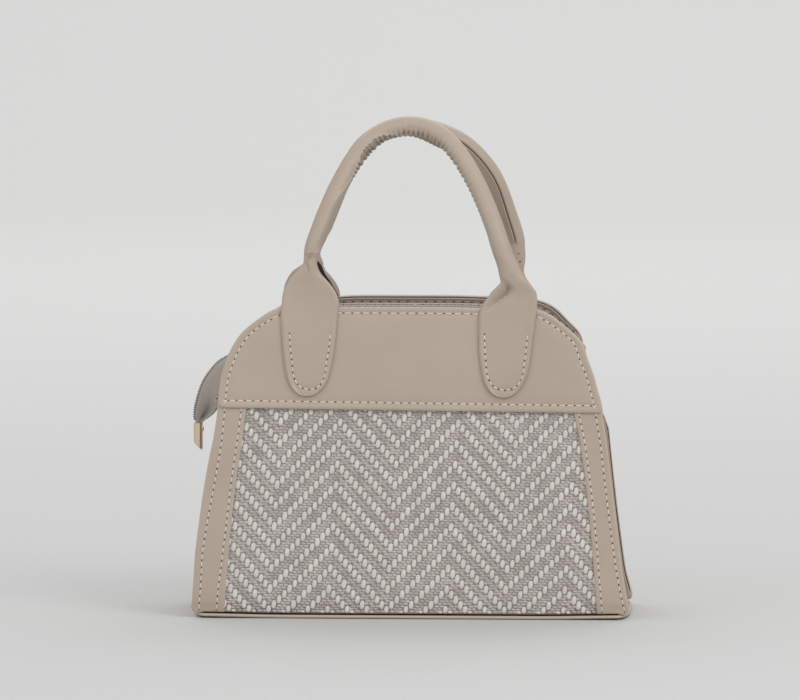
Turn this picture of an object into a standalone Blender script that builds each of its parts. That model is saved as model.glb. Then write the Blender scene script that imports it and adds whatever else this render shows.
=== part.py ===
"""A small structured handbag in leather with a woven panel, two rolled handles
and a domed zip top. Metres, +Z up, +X to the right, front face towards -Y.
The origin is on the ground under the middle of the base."""

import math
from collections import namedtuple

import bpy
import bmesh
from mathutils import Vector

# Body
BASE_HALF_WIDTH = 0.1205
SHOULDER_HALF_WIDTH = 0.106
SHOULDER_HEIGHT = 0.1125
TOP_HALF_LENGTH = 0.064
BODY_HEIGHT = 0.170
BASE_DEPTH = 0.084
TOP_DEPTH = 0.060
BASE_CORNER = 0.005
SHOULDER_STEP = 7.5

# Clearance between touching pieces
GAP = 0.0003

# Leather, fabric and boards
LEATHER = 0.001
FABRIC = 0.001
GUSSET_LEATHER = 0.0012
BOARD = 0.0012
LINING = 0.0005
EDGE_ROUND = 0.0004

# Base
BASE_LEATHER = 0.0022
BASE_END_INSET = 0.0025
BASE_OVERHANG = 0.0008
BASE_PLAN_CORNER = 0.006
BASE_EDGE_ROUND = 0.0009
BASE_BOARD = 0.0015

# Seam flange that stands proud of the gusset all round, and how far its inner lip stays back
FLANGE = 0.0045
LIP_SETBACK = 0.001

# Yoke, side bands and woven panel on each face
YOKE_EDGE = 0.114
YOKE_CORNER = 0.003
LAP = 0.008
BAND_INNER_TOP = 0.0922
BAND_INNER_BASE = 0.1026

# Domed zip top
ZIP_END_ANGLE = 46.0
ZIP_END_CLEAR = 0.4
TAPE_END_ANGLE = 48.0
CREST_FULL_ANGLE = 64.0
CREST_RISE = -0.0027
ZIP_SLOT_HALF = 0.0028
TAPE_HALF_WIDTH = 0.013
TAPE = 0.0006
TAPE_EDGE = 0.0017
TEETH_HEIGHT = 0.0015
TEETH_PITCH = 0.003
TOOTH_WIDTH = 0.0012
TOOTH_REACH = 0.0009
RISE_STEP = 1.8
RIB_STEP = 1.5
RIB_DEPTH = 0.0004
FLAP_HALF_LENGTH = 0.056

# Slider and pull
SLIDER_X = 0.061
SLIDER_LENGTH = 0.0084
SLIDER_WIDTH = 0.0064
SLIDER_BODY = 0.0018
SLIDER_CORNER = 0.0018
BAIL_WIRE = 0.0006
BAIL_HALF_LENGTH = 0.0026
PULL_WIRE = 0.0006
PULL_LINK_LENGTH = 0.0055
PULL_TAG_LENGTH = 0.015
PULL_TAG_WIDTH = 0.005
PULL_TAG_THICKNESS = 0.0012

# Zip tail and its end clip
TAIL_Y = -0.012
TAIL_SEAM_HALF_WIDTH = 0.0105
TAIL_SEAM_HALF_THICKNESS = 0.0007
# Middle of the tail from the seam down: x, z, y, half thickness across, half width along Y
TAIL_LINE = [
    (-0.0975, 0.1485, -0.002, 0.0010, 0.0100), (-0.1015, 0.1440, -0.004, 0.0022, 0.0085),
    (-0.1050, 0.1375, -0.007, 0.0038, 0.0068), (-0.1087, 0.1300, -0.010, 0.0052, 0.0052),
    (-0.1118, 0.1225, -0.012, 0.0060, 0.0042), (-0.1147, 0.1140, -0.012, 0.0052, 0.0034),
    (-0.1174, 0.1086, -0.012, 0.0030, 0.0024),
]
CLIP_TOP = 0.1052
CLIP_LENGTH = 0.0155
CLIP_SLANT = 0.005
CLIP_HALF_WIDTH = 0.0025
CLIP_HALF_DEPTH = 0.0022
CLIP_WALL = 0.0006
CLIP_X = -0.1191
CLIP_GRIP = 0.004

# Strap loops on the gussets
LOOP_LOW_ANGLE = 29.0
LOOP_HIGH_ANGLE = 44.6
TAIL_LOOP_LOW_ANGLE = 6.0
TAIL_LOOP_HIGH_ANGLE = 20.0
LOOP_HALF_WIDTH = 0.005
LOOP_STAND = 0.0028
LOOP_FOOT = 0.16

# Handles
FRONT_TAB_LEFT_X = -0.056
FRONT_TAB_RIGHT_X = 0.0535
FRONT_NECK_LEFT_X = -0.0563
FRONT_NECK_RIGHT_X = 0.0518
REAR_TAB_LEFT_X = -0.060
REAR_TAB_RIGHT_X = 0.0515
REAR_NECK_LEFT_X = -0.0593
REAR_NECK_RIGHT_X = 0.055
NECK_HEIGHT = 0.194
TAB_TIP = 0.1223
TAB_ROUND_TOP = 0.136
TAB_ROUND_HALF = 0.0138
TAB_WIDE_HEIGHT = 0.171
TAB_WIDE_HALF = 0.016
TAB_LEATHER = 0.0016
NECK_HALF_WIDTH = 0.0036
NECK_HALF_DEPTH = 0.0044
HANDLE_RADIUS = 0.0051
HANDLE_LEATHER = 0.0013
HANDLE_TOP_Y = 0.0075
HANDLE_STUB = 0.0022
# Middle line of each handle seen from the front, from the left neck to the right one
FRONT_HANDLE_LINE = [
    (-0.0543, 0.2020), (-0.0516, 0.2098), (-0.0484, 0.2225), (-0.0438, 0.2352),
    (-0.0371, 0.2487), (-0.0288, 0.2594), (-0.0185, 0.2666), (-0.0059, 0.2699),
    (0.0060, 0.2686), (0.0166, 0.2625), (0.0251, 0.2528), (0.0324, 0.2390),
    (0.0390, 0.2250), (0.0442, 0.2140), (0.0480, 0.2055),
]
REAR_HANDLE_LINE = [
    (-0.0562, 0.2035), (-0.0533, 0.2110), (-0.0500, 0.2225), (-0.0457, 0.2352),
    (-0.0385, 0.2480), (-0.0300, 0.2583), (-0.0190, 0.2652), (-0.0060, 0.2680),
    (0.0060, 0.2675), (0.0166, 0.2643), (0.0267, 0.2588), (0.0364, 0.2494),
    (0.0444, 0.2368), (0.0511, 0.2175), (0.0545, 0.2040),
]

# Sizes that follow
LEAN = math.atan((BASE_DEPTH - TOP_DEPTH) / 2 / BODY_HEIGHT)
PANEL_FOOT = BASE_LEATHER + GAP
BAND_THICKNESS = FABRIC + GAP + LEATHER
YOKE_THICKNESS = BAND_THICKNESS + GAP + LEATHER
TAB_LIFT = GAP + YOKE_THICKNESS + GAP
SHOULDER_REACH = SHOULDER_HALF_WIDTH - TOP_HALF_LENGTH
SHOULDER_RISE = BODY_HEIGHT - SHOULDER_HEIGHT
INNER_INSET = FLANGE + GUSSET_LEATHER + GAP
LINING_INSET = INNER_INSET + TAPE + GAP
FRONT = -1
REAR = 1

Station = namedtuple("Station", "x z nx nz")


def clear_scene():
    for old in list(bpy.data.objects):
        bpy.data.objects.remove(old, do_unlink=True)


def new_collection(name):
    collection = bpy.data.collections.new(name)
    bpy.context.scene.collection.children.link(collection)
    return collection


def new_material(name, colour, roughness, metallic=0.0):
    material = bpy.data.materials.new(name)
    material.use_nodes = True
    shader = material.node_tree.nodes["Principled BSDF"]
    shader.inputs["Base Color"].default_value = (*colour, 1.0)
    shader.inputs["Roughness"].default_value = roughness
    shader.inputs["Metallic"].default_value = metallic
    return material


clear_scene()
PARTS = new_collection("handbag")
CUTTERS = new_collection("cutters")

TAUPE_LEATHER = new_material("taupe_leather", (0.43, 0.36, 0.31), 0.5)
WOVEN_FABRIC = new_material("woven_fabric", (0.46, 0.42, 0.39), 0.9)
GREY_BOARD = new_material("grey_board", (0.30, 0.29, 0.27), 0.9)
LINING_CLOTH = new_material("lining_cloth", (0.50, 0.45, 0.40), 0.85)
ZIP_CLOTH = new_material("zip_cloth", (0.36, 0.31, 0.29), 0.85)
ZIP_NYLON = new_material("zip_nylon", (0.09, 0.10, 0.10), 0.45)
PALE_GOLD = new_material("pale_gold", (0.72, 0.55, 0.38), 0.25, 1.0)
HANDLE_CORD = new_material("handle_cord", (0.55, 0.52, 0.47), 0.9)


def finish(obj, material, cutter=False):
    """Put an object in its collection with its material."""
    if cutter:
        CUTTERS.objects.link(obj)
        obj.hide_render = True
        obj.display_type = "WIRE"
    else:
        PARTS.objects.link(obj)
        obj.data.materials.clear()
        obj.data.materials.append(material)
    return obj


def new_empty(name, location, rotation=(0.0, 0.0, 0.0)):
    empty = bpy.data.objects.new(name, None)
    empty.location = location
    empty.rotation_euler = rotation
    PARTS.objects.link(empty)
    bpy.context.view_layer.update()
    return empty


def shade(mesh, angle=35.0):
    mesh.shade_smooth()
    mesh.set_sharp_from_angle(angle=math.radians(angle))


def mesh_from_rings(name, rings):
    """Skin a list of equal rings and close both ends."""
    mesh = bpy.data.meshes.new(name)
    built = bmesh.new()
    rows = [[built.verts.new(point) for point in ring] for ring in rings]
    count = len(rows[0])
    for low, high in zip(rows, rows[1:]):
        for i in range(count):
            j = (i + 1) % count
            built.faces.new((low[i], low[j], high[j], high[i]))
    built.faces.new(rows[0])
    built.faces.new(rows[-1])
    bmesh.ops.recalc_face_normals(built, faces=built.faces)
    built.to_mesh(mesh)
    built.free()
    return mesh


def add_mesh(name, mesh, material, parent=None, cutter=False):
    obj = bpy.data.objects.new(name, mesh)
    finish(obj, material, cutter)
    if parent is not None:
        obj.parent = parent
    return obj


def curve_to_mesh(curve_object, weld=0.00001):
    """Turn an evaluated curve into a welded mesh object in the same place."""
    bpy.context.view_layer.update()
    graph = bpy.context.evaluated_depsgraph_get()
    mesh = bpy.data.meshes.new_from_object(curve_object.evaluated_get(graph))
    welded = bmesh.new()
    welded.from_mesh(mesh)
    bmesh.ops.remove_doubles(welded, verts=welded.verts, dist=weld)
    bmesh.ops.recalc_face_normals(welded, faces=welded.faces)
    welded.to_mesh(mesh)
    welded.free()
    bpy.data.objects.remove(curve_object, do_unlink=True)
    return mesh


def outline_mesh(name, points, thickness):
    """A flat outline in XY, filled and given a thickness about its own plane."""
    curve = bpy.data.curves.new(name, "CURVE")
    curve.dimensions = "2D"
    curve.fill_mode = "BOTH"
    curve.extrude = thickness / 2
    spline = curve.splines.new("POLY")
    spline.points.add(len(points) - 1)
    for target, (x, y) in zip(spline.points, points):
        target.co = (x, y, 0.0, 1.0)
    spline.use_cyclic_u = True
    holder = bpy.data.objects.new(name, curve)
    bpy.context.scene.collection.objects.link(holder)
    return curve_to_mesh(holder)


def tube_mesh(name, points, radius, sides, capped=True, cyclic=False):
    """A round wire or tube along a smooth line of points."""
    curve = bpy.data.curves.new(name, "CURVE")
    curve.dimensions = "3D"
    curve.bevel_depth = radius
    curve.bevel_resolution = sides // 4
    curve.use_fill_caps = capped
    spline = curve.splines.new("POLY")
    spline.points.add(len(points) - 1)
    for target, point in zip(spline.points, points):
        target.co = (*point, 1.0)
    spline.use_cyclic_u = cyclic
    holder = bpy.data.objects.new(name, curve)
    bpy.context.scene.collection.objects.link(holder)
    return curve_to_mesh(holder)


def add_bevel(obj, width, segments=1, angle=40.0):
    bevel = obj.modifiers.new("rounded_edges", "BEVEL")
    bevel.width = width
    bevel.segments = segments
    bevel.limit_method = "ANGLE"
    bevel.angle_limit = math.radians(angle)


def cut(obj, cutter, operation="DIFFERENCE", solver="EXACT"):
    boolean = obj.modifiers.new(operation.lower(), "BOOLEAN")
    boolean.operation = operation
    boolean.solver = solver
    boolean.object = cutter


def box_mesh(name, low, high):
    mesh = bpy.data.meshes.new(name)
    built = bmesh.new()
    bmesh.ops.create_cube(built, size=1.0)
    low = Vector(low)
    high = Vector(high)
    bmesh.ops.scale(built, vec=high - low, verts=built.verts)
    bmesh.ops.translate(built, vec=(low + high) / 2, verts=built.verts)
    built.to_mesh(mesh)
    built.free()
    return mesh


# Outline of the body seen from the front

def half_width(z):
    """Half the width of the outline at a height."""
    if z <= SHOULDER_HEIGHT:
        taper = (BASE_HALF_WIDTH - SHOULDER_HALF_WIDTH) / SHOULDER_HEIGHT
        return BASE_HALF_WIDTH - taper * z
    rise = min((z - SHOULDER_HEIGHT) / SHOULDER_RISE, 1.0)
    return TOP_HALF_LENGTH + SHOULDER_REACH * math.sqrt(1.0 - rise * rise)


def shoulder_angle(z):
    return math.degrees(math.asin((z - SHOULDER_HEIGHT) / SHOULDER_RISE))


def shoulder_station(degrees):
    """A point on the right shoulder with its outward direction."""
    turn = math.radians(degrees)
    nx = math.cos(turn) / SHOULDER_REACH
    nz = math.sin(turn) / SHOULDER_RISE
    length = math.hypot(nx, nz)
    x = TOP_HALF_LENGTH + SHOULDER_REACH * math.cos(turn)
    z = SHOULDER_HEIGHT + SHOULDER_RISE * math.sin(turn)
    return Station(x, z, nx / length, nz / length)


def shoulder_stations(low, high, step=SHOULDER_STEP):
    count = max(1, round((high - low) / step))
    return [shoulder_station(low + (high - low) * i / count) for i in range(count + 1)]


def side_station(z):
    return Station(half_width(z), z, 1.0, 0.0)


def mirrored(stations):
    return [Station(-s.x, s.z, -s.nx, s.nz) for s in stations]


def corner_heights():
    """Heights of the points that round a bottom corner."""
    turns = (0.0, 30.0, 60.0, 90.0)
    return [PANEL_FOOT + BASE_CORNER * (1.0 - math.cos(math.radians(t))) for t in turns]


def corner_inset(z):
    """How far a rounded bottom corner lies inside the straight side."""
    below = max(0.0, PANEL_FOOT + BASE_CORNER - z)
    return BASE_CORNER - math.sqrt(max(0.0, BASE_CORNER ** 2 - below ** 2))


def wall_y(z):
    """Distance from the middle plane to the inner face of a front or rear panel."""
    return BASE_DEPTH / 2 - math.tan(LEAN) * z


# Panels lie in a leaning frame: X across, Y up the slope, Z outwards
FRAMES = {
    FRONT: new_empty("front_plane", (0.0, -BASE_DEPTH / 2, 0.0),
                     (math.pi / 2 - LEAN, 0.0, 0.0)),
    REAR: new_empty("rear_plane", (0.0, BASE_DEPTH / 2, 0.0),
                    (math.pi / 2 - LEAN, 0.0, math.pi)),
}


def panel_points(points, side):
    """World X and height turned to the leaning frame's own coordinates."""
    flip = -side
    return [(x * flip, z / math.cos(LEAN)) for x, z in points]


def panel_mesh(name, points, side, lift, thickness):
    mesh = outline_mesh(name, panel_points(points, side), thickness)
    for vertex in mesh.vertices:
        vertex.co.z += lift + thickness / 2
    return mesh


def add_panel(name, points, side, lift, thickness, material, cutter=False):
    mesh = panel_mesh(name, points, side, lift, thickness)
    return add_mesh(name, mesh, material, FRAMES[side], cutter)


def dome_outline(inset, foot):
    """The whole body outline, drawn in by an inset, with square bottom corners."""
    right = [(half_width(foot) - inset, foot), (SHOULDER_HALF_WIDTH - inset, SHOULDER_HEIGHT)]
    for s in shoulder_stations(SHOULDER_STEP, 90.0):
        right.append((s.x - inset * s.nx, s.z - inset * s.nz))
    return right + [(-x, z) for x, z in reversed(right)]


# Sweeps along the rim of the body

def place(station, point):
    """A section point is (out, side, depth): out along the rim's outward
    direction, and depth in from the panel on that side, or Y itself where
    side is 0."""
    out, side, depth = point
    x = station.x + out * station.nx
    z = station.z + out * station.nz
    y = depth if side == 0 else side * (wall_y(z) - depth / math.cos(LEAN))
    return Vector((x, y, z))


def sweep(name, stations, section, material):
    rings = [[place(s, point) for point in section(s)] for s in stations]
    mesh = mesh_from_rings(name, rings)
    shade(mesh)
    return add_mesh(name, mesh, material)


def gusset_section(station):
    """A channel whose two lips turn outwards behind the panels' edges."""
    tip = -max(LIP_SETBACK, corner_inset(station.z))
    floor = -FLANGE - GUSSET_LEATHER
    return [
        (tip, FRONT, 0.0), (tip, FRONT, GUSSET_LEATHER),
        (-FLANGE, FRONT, GUSSET_LEATHER), (-FLANGE, REAR, GUSSET_LEATHER),
        (tip, REAR, GUSSET_LEATHER), (tip, REAR, 0.0),
        (floor, REAR, 0.0), (floor, FRONT, 0.0),
    ]


def build_side_gussets():
    low = [side_station(z) for z in corner_heights()]
    high = shoulder_stations(0.0, ZIP_END_ANGLE)
    right = low + high
    sweep("side_gusset_right", right, gusset_section, TAUPE_LEATHER)
    sweep("side_gusset_left", mirrored(right), gusset_section, TAUPE_LEATHER)


def crest_out(station):
    """Height of the zip's crest over the rim, which falls away to each end."""
    rise = (station.z - SHOULDER_HEIGHT) / SHOULDER_RISE
    degrees = math.degrees(math.asin(min(1.0, rise)))
    share = (degrees - ZIP_END_ANGLE) / (CREST_FULL_ANGLE - ZIP_END_ANGLE)
    share = min(1.0, max(0.0, share))
    share = share * share * (3.0 - 2.0 * share)
    return -FLANGE + (CREST_RISE + FLANGE) * share


def leg_fall(station):
    """Fall of the facing for each metre away from the zip slot."""
    reach = wall_y(station.z - FLANGE) - GUSSET_LEATHER - ZIP_SLOT_HALF
    return (crest_out(station) + FLANGE) / reach


def leg_out(station, y):
    """Height over the rim of the facing's upper face, y from the middle."""
    return crest_out(station) - leg_fall(station) * (y - ZIP_SLOT_HALF)


def facing_section(side):
    """A lip behind the panel's edge and a leg that climbs to the zip."""
    def section(station):
        crest = crest_out(station)
        middle = leg_out(station, TAPE_HALF_WIDTH)
        return [
            (-LIP_SETBACK, side, 0.0), (-LIP_SETBACK, side, GUSSET_LEATHER),
            (-FLANGE, side, GUSSET_LEATHER),
            (middle, 0, side * TAPE_HALF_WIDTH), (crest, 0, side * ZIP_SLOT_HALF),
            (crest - GUSSET_LEATHER, 0, side * ZIP_SLOT_HALF),
            (middle - GUSSET_LEATHER, 0, side * TAPE_HALF_WIDTH),
            (-FLANGE - GUSSET_LEATHER, side, GUSSET_LEATHER),
            (-FLANGE - GUSSET_LEATHER, side, 0.0),
        ]
    return section


def closed_tape_section(station):
    """Both halves of the closed zip's tape, under the facings."""
    top = crest_out(station) - GUSSET_LEATHER - GAP
    low = leg_out(station, TAPE_HALF_WIDTH) - GUSSET_LEATHER - GAP
    return [
        (low, 0, -TAPE_HALF_WIDTH), (top, 0, -ZIP_SLOT_HALF),
        (top, 0, ZIP_SLOT_HALF), (low, 0, TAPE_HALF_WIDTH),
        (low - TAPE, 0, TAPE_HALF_WIDTH), (top - TAPE, 0, ZIP_SLOT_HALF),
        (top - TAPE, 0, -ZIP_SLOT_HALF), (low - TAPE, 0, -TAPE_HALF_WIDTH),
    ]


def zip_stations(low, crown_step):
    """The right shoulder of the zip, in short steps where its crest rises."""
    rising = shoulder_stations(low, CREST_FULL_ANGLE, RISE_STEP)
    return rising[:-1] + shoulder_stations(CREST_FULL_ANGLE, 90.0, crown_step)


def tape_stations(crown_step):
    """One shoulder of the tape, from its end to where the mouth flap starts."""
    straight = Station(FLAP_HALF_LENGTH + GAP, BODY_HEIGHT, 0.0, 1.0)
    return zip_stations(TAPE_END_ANGLE, crown_step) + [straight]


def build_zip_facings():
    right = zip_stations(ZIP_END_ANGLE + ZIP_END_CLEAR, SHOULDER_STEP)
    stations = right + list(reversed(mirrored(right)))
    for side, face in ((FRONT, "front"), (REAR, "rear")):
        facing = sweep(face + "_zip_facing", stations, facing_section(side), TAUPE_LEATHER)
        opening = mouth_cutter(face + "_mouth_cut", side)
        cut(facing, opening)


def mouth_cutter(name, side):
    """Room for the mouth flap: all that lies inside the seam lip."""
    lip = GUSSET_LEATHER + GAP / 3
    low = BODY_HEIGHT - 3 * FLANGE
    high = BODY_HEIGHT + 3 * FLANGE
    points = [
        (side * (wall_y(low) - lip), low), (side * (wall_y(high) - lip), high),
        (-side * ZIP_SLOT_HALF, high), (-side * ZIP_SLOT_HALF, low),
    ]
    half = FLAP_HALF_LENGTH + GAP
    rings = [[Vector((x, y, z)) for y, z in points] for x in (-half, half)]
    mesh = mesh_from_rings(name, rings)
    return add_mesh(name, mesh, None, cutter=True)


TOP_STATION = Station(0.0, BODY_HEIGHT, 0.0, 1.0)
FLAP_HINGE_Z = BODY_HEIGHT - FLANGE
FLAP_HINGE_Y = wall_y(FLAP_HINGE_Z) - GUSSET_LEATHER - 2 * GAP


def flap_prism(name, profile, hinge, material):
    """Extrude a profile of (y, z) along the mouth, about the flap's hinge."""
    points = [(y - hinge.location.y, z - hinge.location.z) for y, z in profile]
    half = FLAP_HALF_LENGTH
    rings = [[Vector((x, y, z)) for y, z in points] for x in (-half, half)]
    mesh = mesh_from_rings(name, rings)
    return add_mesh(name, mesh, material, hinge)


def build_mouth_flaps():
    crest = BODY_HEIGHT + CREST_RISE
    under = crest - GUSSET_LEATHER
    tape_top = under - GAP
    tape_low = BODY_HEIGHT + leg_out(TOP_STATION, TAPE_HALF_WIDTH) - GUSSET_LEATHER - GAP
    for side, face in ((FRONT, "front"), (REAR, "rear")):
        hinge = new_empty(face + "_flap_hinge", (0.0, side * FLAP_HINGE_Y, FLAP_HINGE_Z))
        leather = [
            (side * FLAP_HINGE_Y, FLAP_HINGE_Z), (side * ZIP_SLOT_HALF, crest),
            (side * ZIP_SLOT_HALF, under), (side * FLAP_HINGE_Y, FLAP_HINGE_Z - GUSSET_LEATHER),
        ]
        flap_prism(face + "_mouth_flap", leather, hinge, TAUPE_LEATHER)
        tape = [
            (side * TAPE_HALF_WIDTH, tape_low), (side * ZIP_SLOT_HALF, tape_top),
            (side * TAPE_EDGE, tape_top), (side * TAPE_EDGE, tape_top - TAPE),
            (side * ZIP_SLOT_HALF, tape_top - TAPE), (side * TAPE_HALF_WIDTH, tape_low - TAPE),
        ]
        flap_prism(face + "_flap_tape", tape, hinge, ZIP_CLOTH)
        build_flap_teeth(face, side, hinge, tape_top + GAP)


def build_flap_teeth(face, side, hinge, foot):
    """A row of teeth that meshes with the row on the other flap."""
    back = ZIP_SLOT_HALF - GAP
    start = -FLAP_HALF_LENGTH
    count = int(2 * FLAP_HALF_LENGTH / TEETH_PITCH)
    offset = 0.0 if side == FRONT else TEETH_PITCH / 2
    lead = (2 * FLAP_HALF_LENGTH - count * TEETH_PITCH) / 2 + GAP
    tip = -side * (TOOTH_REACH - GAP)
    points = [(start, side * back), (start, side * TOOTH_REACH)]
    for i in range(count):
        left = start + lead + offset + i * TEETH_PITCH
        right = left + TOOTH_WIDTH
        points += [
            (left, side * TOOTH_REACH), (left, tip), (right, tip), (right, side * TOOTH_REACH),
        ]
    points += [(-start, side * TOOTH_REACH), (-start, side * back)]
    mesh = outline_mesh(face + "_flap_teeth", points, TEETH_HEIGHT)
    for vertex in mesh.vertices:
        vertex.co.y -= hinge.location.y
        vertex.co.z += foot + TEETH_HEIGHT / 2 - hinge.location.z
    add_mesh(face + "_flap_teeth", mesh, ZIP_NYLON, hinge)


def build_zip_ends():
    """The tape and the closed chain over each shoulder, with ribs for its teeth."""
    tape_path = tape_stations(SHOULDER_STEP)
    chain_path = tape_stations(RIB_STEP)
    ribs = {round(s.x, 7): i % 2 for i, s in enumerate(chain_path)}

    def chain_section(station):
        foot = crest_out(station) - GUSSET_LEATHER
        top = foot + TEETH_HEIGHT - RIB_DEPTH * ribs[round(abs(station.x), 7)]
        half = ZIP_SLOT_HALF - GAP
        return [(foot, 0, -half), (top, 0, -half), (top, 0, half), (foot, 0, half)]

    for face, turn in (("right", list), ("left", mirrored)):
        sweep("zip_tape_" + face, turn(tape_path), closed_tape_section, ZIP_CLOTH)
        sweep("zip_teeth_" + face, turn(chain_path), chain_section, ZIP_NYLON)


def rounded_rectangle(half_x, half_y, radius, steps=4):
    points = []
    for cx, cy, begin in ((1, 1, 0), (-1, 1, 90), (-1, -1, 180), (1, -1, 270)):
        for i in range(steps + 1):
            turn = math.radians(begin + 90.0 * i / steps)
            points.append((cx * (half_x - radius) + radius * math.cos(turn),
                           cy * (half_y - radius) + radius * math.sin(turn)))
    return points


def build_slider():
    """The slider rides on the chain; its bail is a wire staple along the zip."""
    foot = BODY_HEIGHT + CREST_RISE - GUSSET_LEATHER + TEETH_HEIGHT + GAP
    rail = new_empty("slider_rail", (SLIDER_X, 0.0, foot))
    plan = rounded_rectangle(SLIDER_LENGTH / 2, SLIDER_WIDTH / 2, SLIDER_CORNER)
    mesh = outline_mesh("zip_slider", plan, SLIDER_BODY)
    for vertex in mesh.vertices:
        vertex.co.z += SLIDER_BODY / 2
    slider = add_mesh("zip_slider", mesh, PALE_GOLD, rail)
    pull_room = 2 * PULL_WIRE + 2 * GAP
    bar = SLIDER_BODY + pull_room + BAIL_WIRE
    sunk = SLIDER_BODY / 2
    line = [
        (-BAIL_HALF_LENGTH, 0.0, sunk), (-BAIL_HALF_LENGTH, 0.0, bar - BAIL_WIRE),
        (-BAIL_HALF_LENGTH + BAIL_WIRE, 0.0, bar), (BAIL_HALF_LENGTH - BAIL_WIRE, 0.0, bar),
        (BAIL_HALF_LENGTH, 0.0, bar - BAIL_WIRE), (BAIL_HALF_LENGTH, 0.0, sunk),
    ]
    bail = tube_mesh("slider_bail", line, BAIL_WIRE, 8)
    cut(slider, add_mesh("slider_bail", bail, None, rail, cutter=True), "UNION")
    build_pull(rail, bar)


def build_pull(rail, bar):
    """A long wire link round the bail's bar, cast in one with a flat tag."""
    pivot = new_empty("pull_pivot", (0.0, 0.0, bar))
    pivot.parent = rail
    ring = BAIL_WIRE + GAP + PULL_WIRE
    line = []
    for i in range(9):
        turn = math.radians(90.0 + 180.0 * i / 8)
        line.append((0.0, ring * math.cos(turn), ring * math.sin(turn)))
    for i in range(9):
        turn = math.radians(-90.0 + 180.0 * i / 8)
        line.append((0.0, PULL_LINK_LENGTH + ring * math.cos(turn), ring * math.sin(turn)))
    link = tube_mesh("pull_link", line, PULL_WIRE, 8, capped=False, cyclic=True)
    start = PULL_LINK_LENGTH + ring - PULL_WIRE / 2
    plan = rounded_rectangle(PULL_TAG_WIDTH / 2, PULL_TAG_LENGTH / 2, PULL_TAG_WIDTH * 0.4)
    tag = outline_mesh("zip_pull", plan, PULL_TAG_THICKNESS)
    for vertex in tag.vertices:
        vertex.co.y += start + PULL_TAG_LENGTH / 2
    pull = add_mesh("zip_pull", tag, PALE_GOLD, pivot)
    cut(pull, add_mesh("pull_link", link, None, pivot, cutter=True), "UNION")


# Faces of the bag

def build_faces():
    slope_top = YOKE_EDGE + LAP
    inner_slope = (BAND_INNER_BASE - BAND_INNER_TOP) / YOKE_EDGE

    def inner(z):
        return BAND_INNER_BASE - inner_slope * z

    def lapped(z):
        return inner(z) + LAP

    fabric = [(lapped(PANEL_FOOT), PANEL_FOOT), (lapped(slope_top), slope_top)]
    fabric += [(-x, z) for x, z in reversed(fabric)]
    band = [(inner(PANEL_FOOT), PANEL_FOOT)]
    band += [(half_width(z) - corner_inset(z), z) for z in corner_heights()]
    band.append((SHOULDER_HALF_WIDTH, SHOULDER_HEIGHT))
    for s in shoulder_stations(SHOULDER_STEP / 2, shoulder_angle(slope_top)):
        band.append((s.x, s.z))
    band.append((inner(slope_top), slope_top))
    yoke = yoke_outline()
    board = dome_outline(INNER_INSET, PANEL_FOOT)
    for side, face in ((FRONT, "front"), (REAR, "rear")):
        add_panel(face + "_backing", board, side, -BOARD, BOARD, GREY_BOARD)
        add_panel(face + "_woven_panel", fabric, side, GAP, FABRIC, WOVEN_FABRIC)
        under = add_panel(face + "_band_rebate", grown(fabric), side, -FABRIC,
                          2 * FABRIC + 2 * GAP, None, cutter=True)
        for hand, flip in (("right", 1), ("left", -1)):
            points = [(flip * x, z) for x, z in band]
            name = f"{face}_side_band_{hand}"
            piece = add_panel(name, points, side, GAP, BAND_THICKNESS, TAUPE_LEATHER)
            add_bevel(piece, EDGE_ROUND)
            cut(piece, under, solver="MANIFOLD")
        piece = add_panel(face + "_yoke", yoke, side, GAP, YOKE_THICKNESS, TAUPE_LEATHER)
        add_bevel(piece, EDGE_ROUND)
        rebate_top = slope_top + GAP
        wide = 2 * BASE_HALF_WIDTH
        rebate = [(wide, 0.0), (wide, rebate_top), (-wide, rebate_top), (-wide, 0.0)]
        under = add_panel(face + "_yoke_rebate", rebate, side, -FABRIC,
                          FABRIC + BAND_THICKNESS + 2 * GAP, None, cutter=True)
        cut(piece, under)


def grown(points):
    """A four-cornered outline drawn out by the gap, past its foot."""
    (xb, zb), (xt, zt) = points[:2]
    right = [(xb + GAP, zb - FABRIC), (xt + GAP, zt + FABRIC)]
    return right + [(-x, z) for x, z in reversed(right)]


def yoke_outline():
    right = []
    edge = half_width(YOKE_EDGE)
    for i in range(4):
        turn = math.radians(-90.0 + 30.0 * i)
        right.append((edge - YOKE_CORNER + YOKE_CORNER * math.cos(turn),
                      YOKE_EDGE + YOKE_CORNER + YOKE_CORNER * math.sin(turn)))
    start = shoulder_angle(YOKE_EDGE + 2 * YOKE_CORNER)
    for s in shoulder_stations(start, 90.0):
        right.append((s.x, s.z))
    return right + [(-x, z) for x, z in reversed(right)]


def build_base():
    half_depth = wall_y(0.0) + GAP + BAND_THICKNESS + BASE_OVERHANG
    half_length = BASE_HALF_WIDTH - BASE_END_INSET
    plan = rounded_rectangle(half_length, half_depth, BASE_PLAN_CORNER)
    mesh = outline_mesh("base_panel", plan, BASE_LEATHER)
    for vertex in mesh.vertices:
        vertex.co.z += BASE_LEATHER / 2
    panel = add_mesh("base_panel", mesh, TAUPE_LEATHER)
    add_bevel(panel, BASE_EDGE_ROUND, segments=2)
    top = PANEL_FOOT + BASE_BOARD
    half_x = half_width(top) - INNER_INSET - GAP
    half_y = wall_y(top) - BOARD - GAP
    mesh = box_mesh("base_board", (-half_x, -half_y, PANEL_FOOT), (half_x, half_y, top))
    add_mesh("base_board", mesh, GREY_BOARD)


def dome_block(name, inset, depth, foot, material, cutter=False):
    """A solid of the body's outline between the two leaning walls."""
    outline = dome_outline(inset, foot)
    rings = []
    for side in (FRONT, REAR):
        rings.append([Vector((x, side * (wall_y(z) - depth), z)) for x, z in outline])
    mesh = mesh_from_rings(name, rings)
    return add_mesh(name, mesh, material, cutter=cutter)


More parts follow.
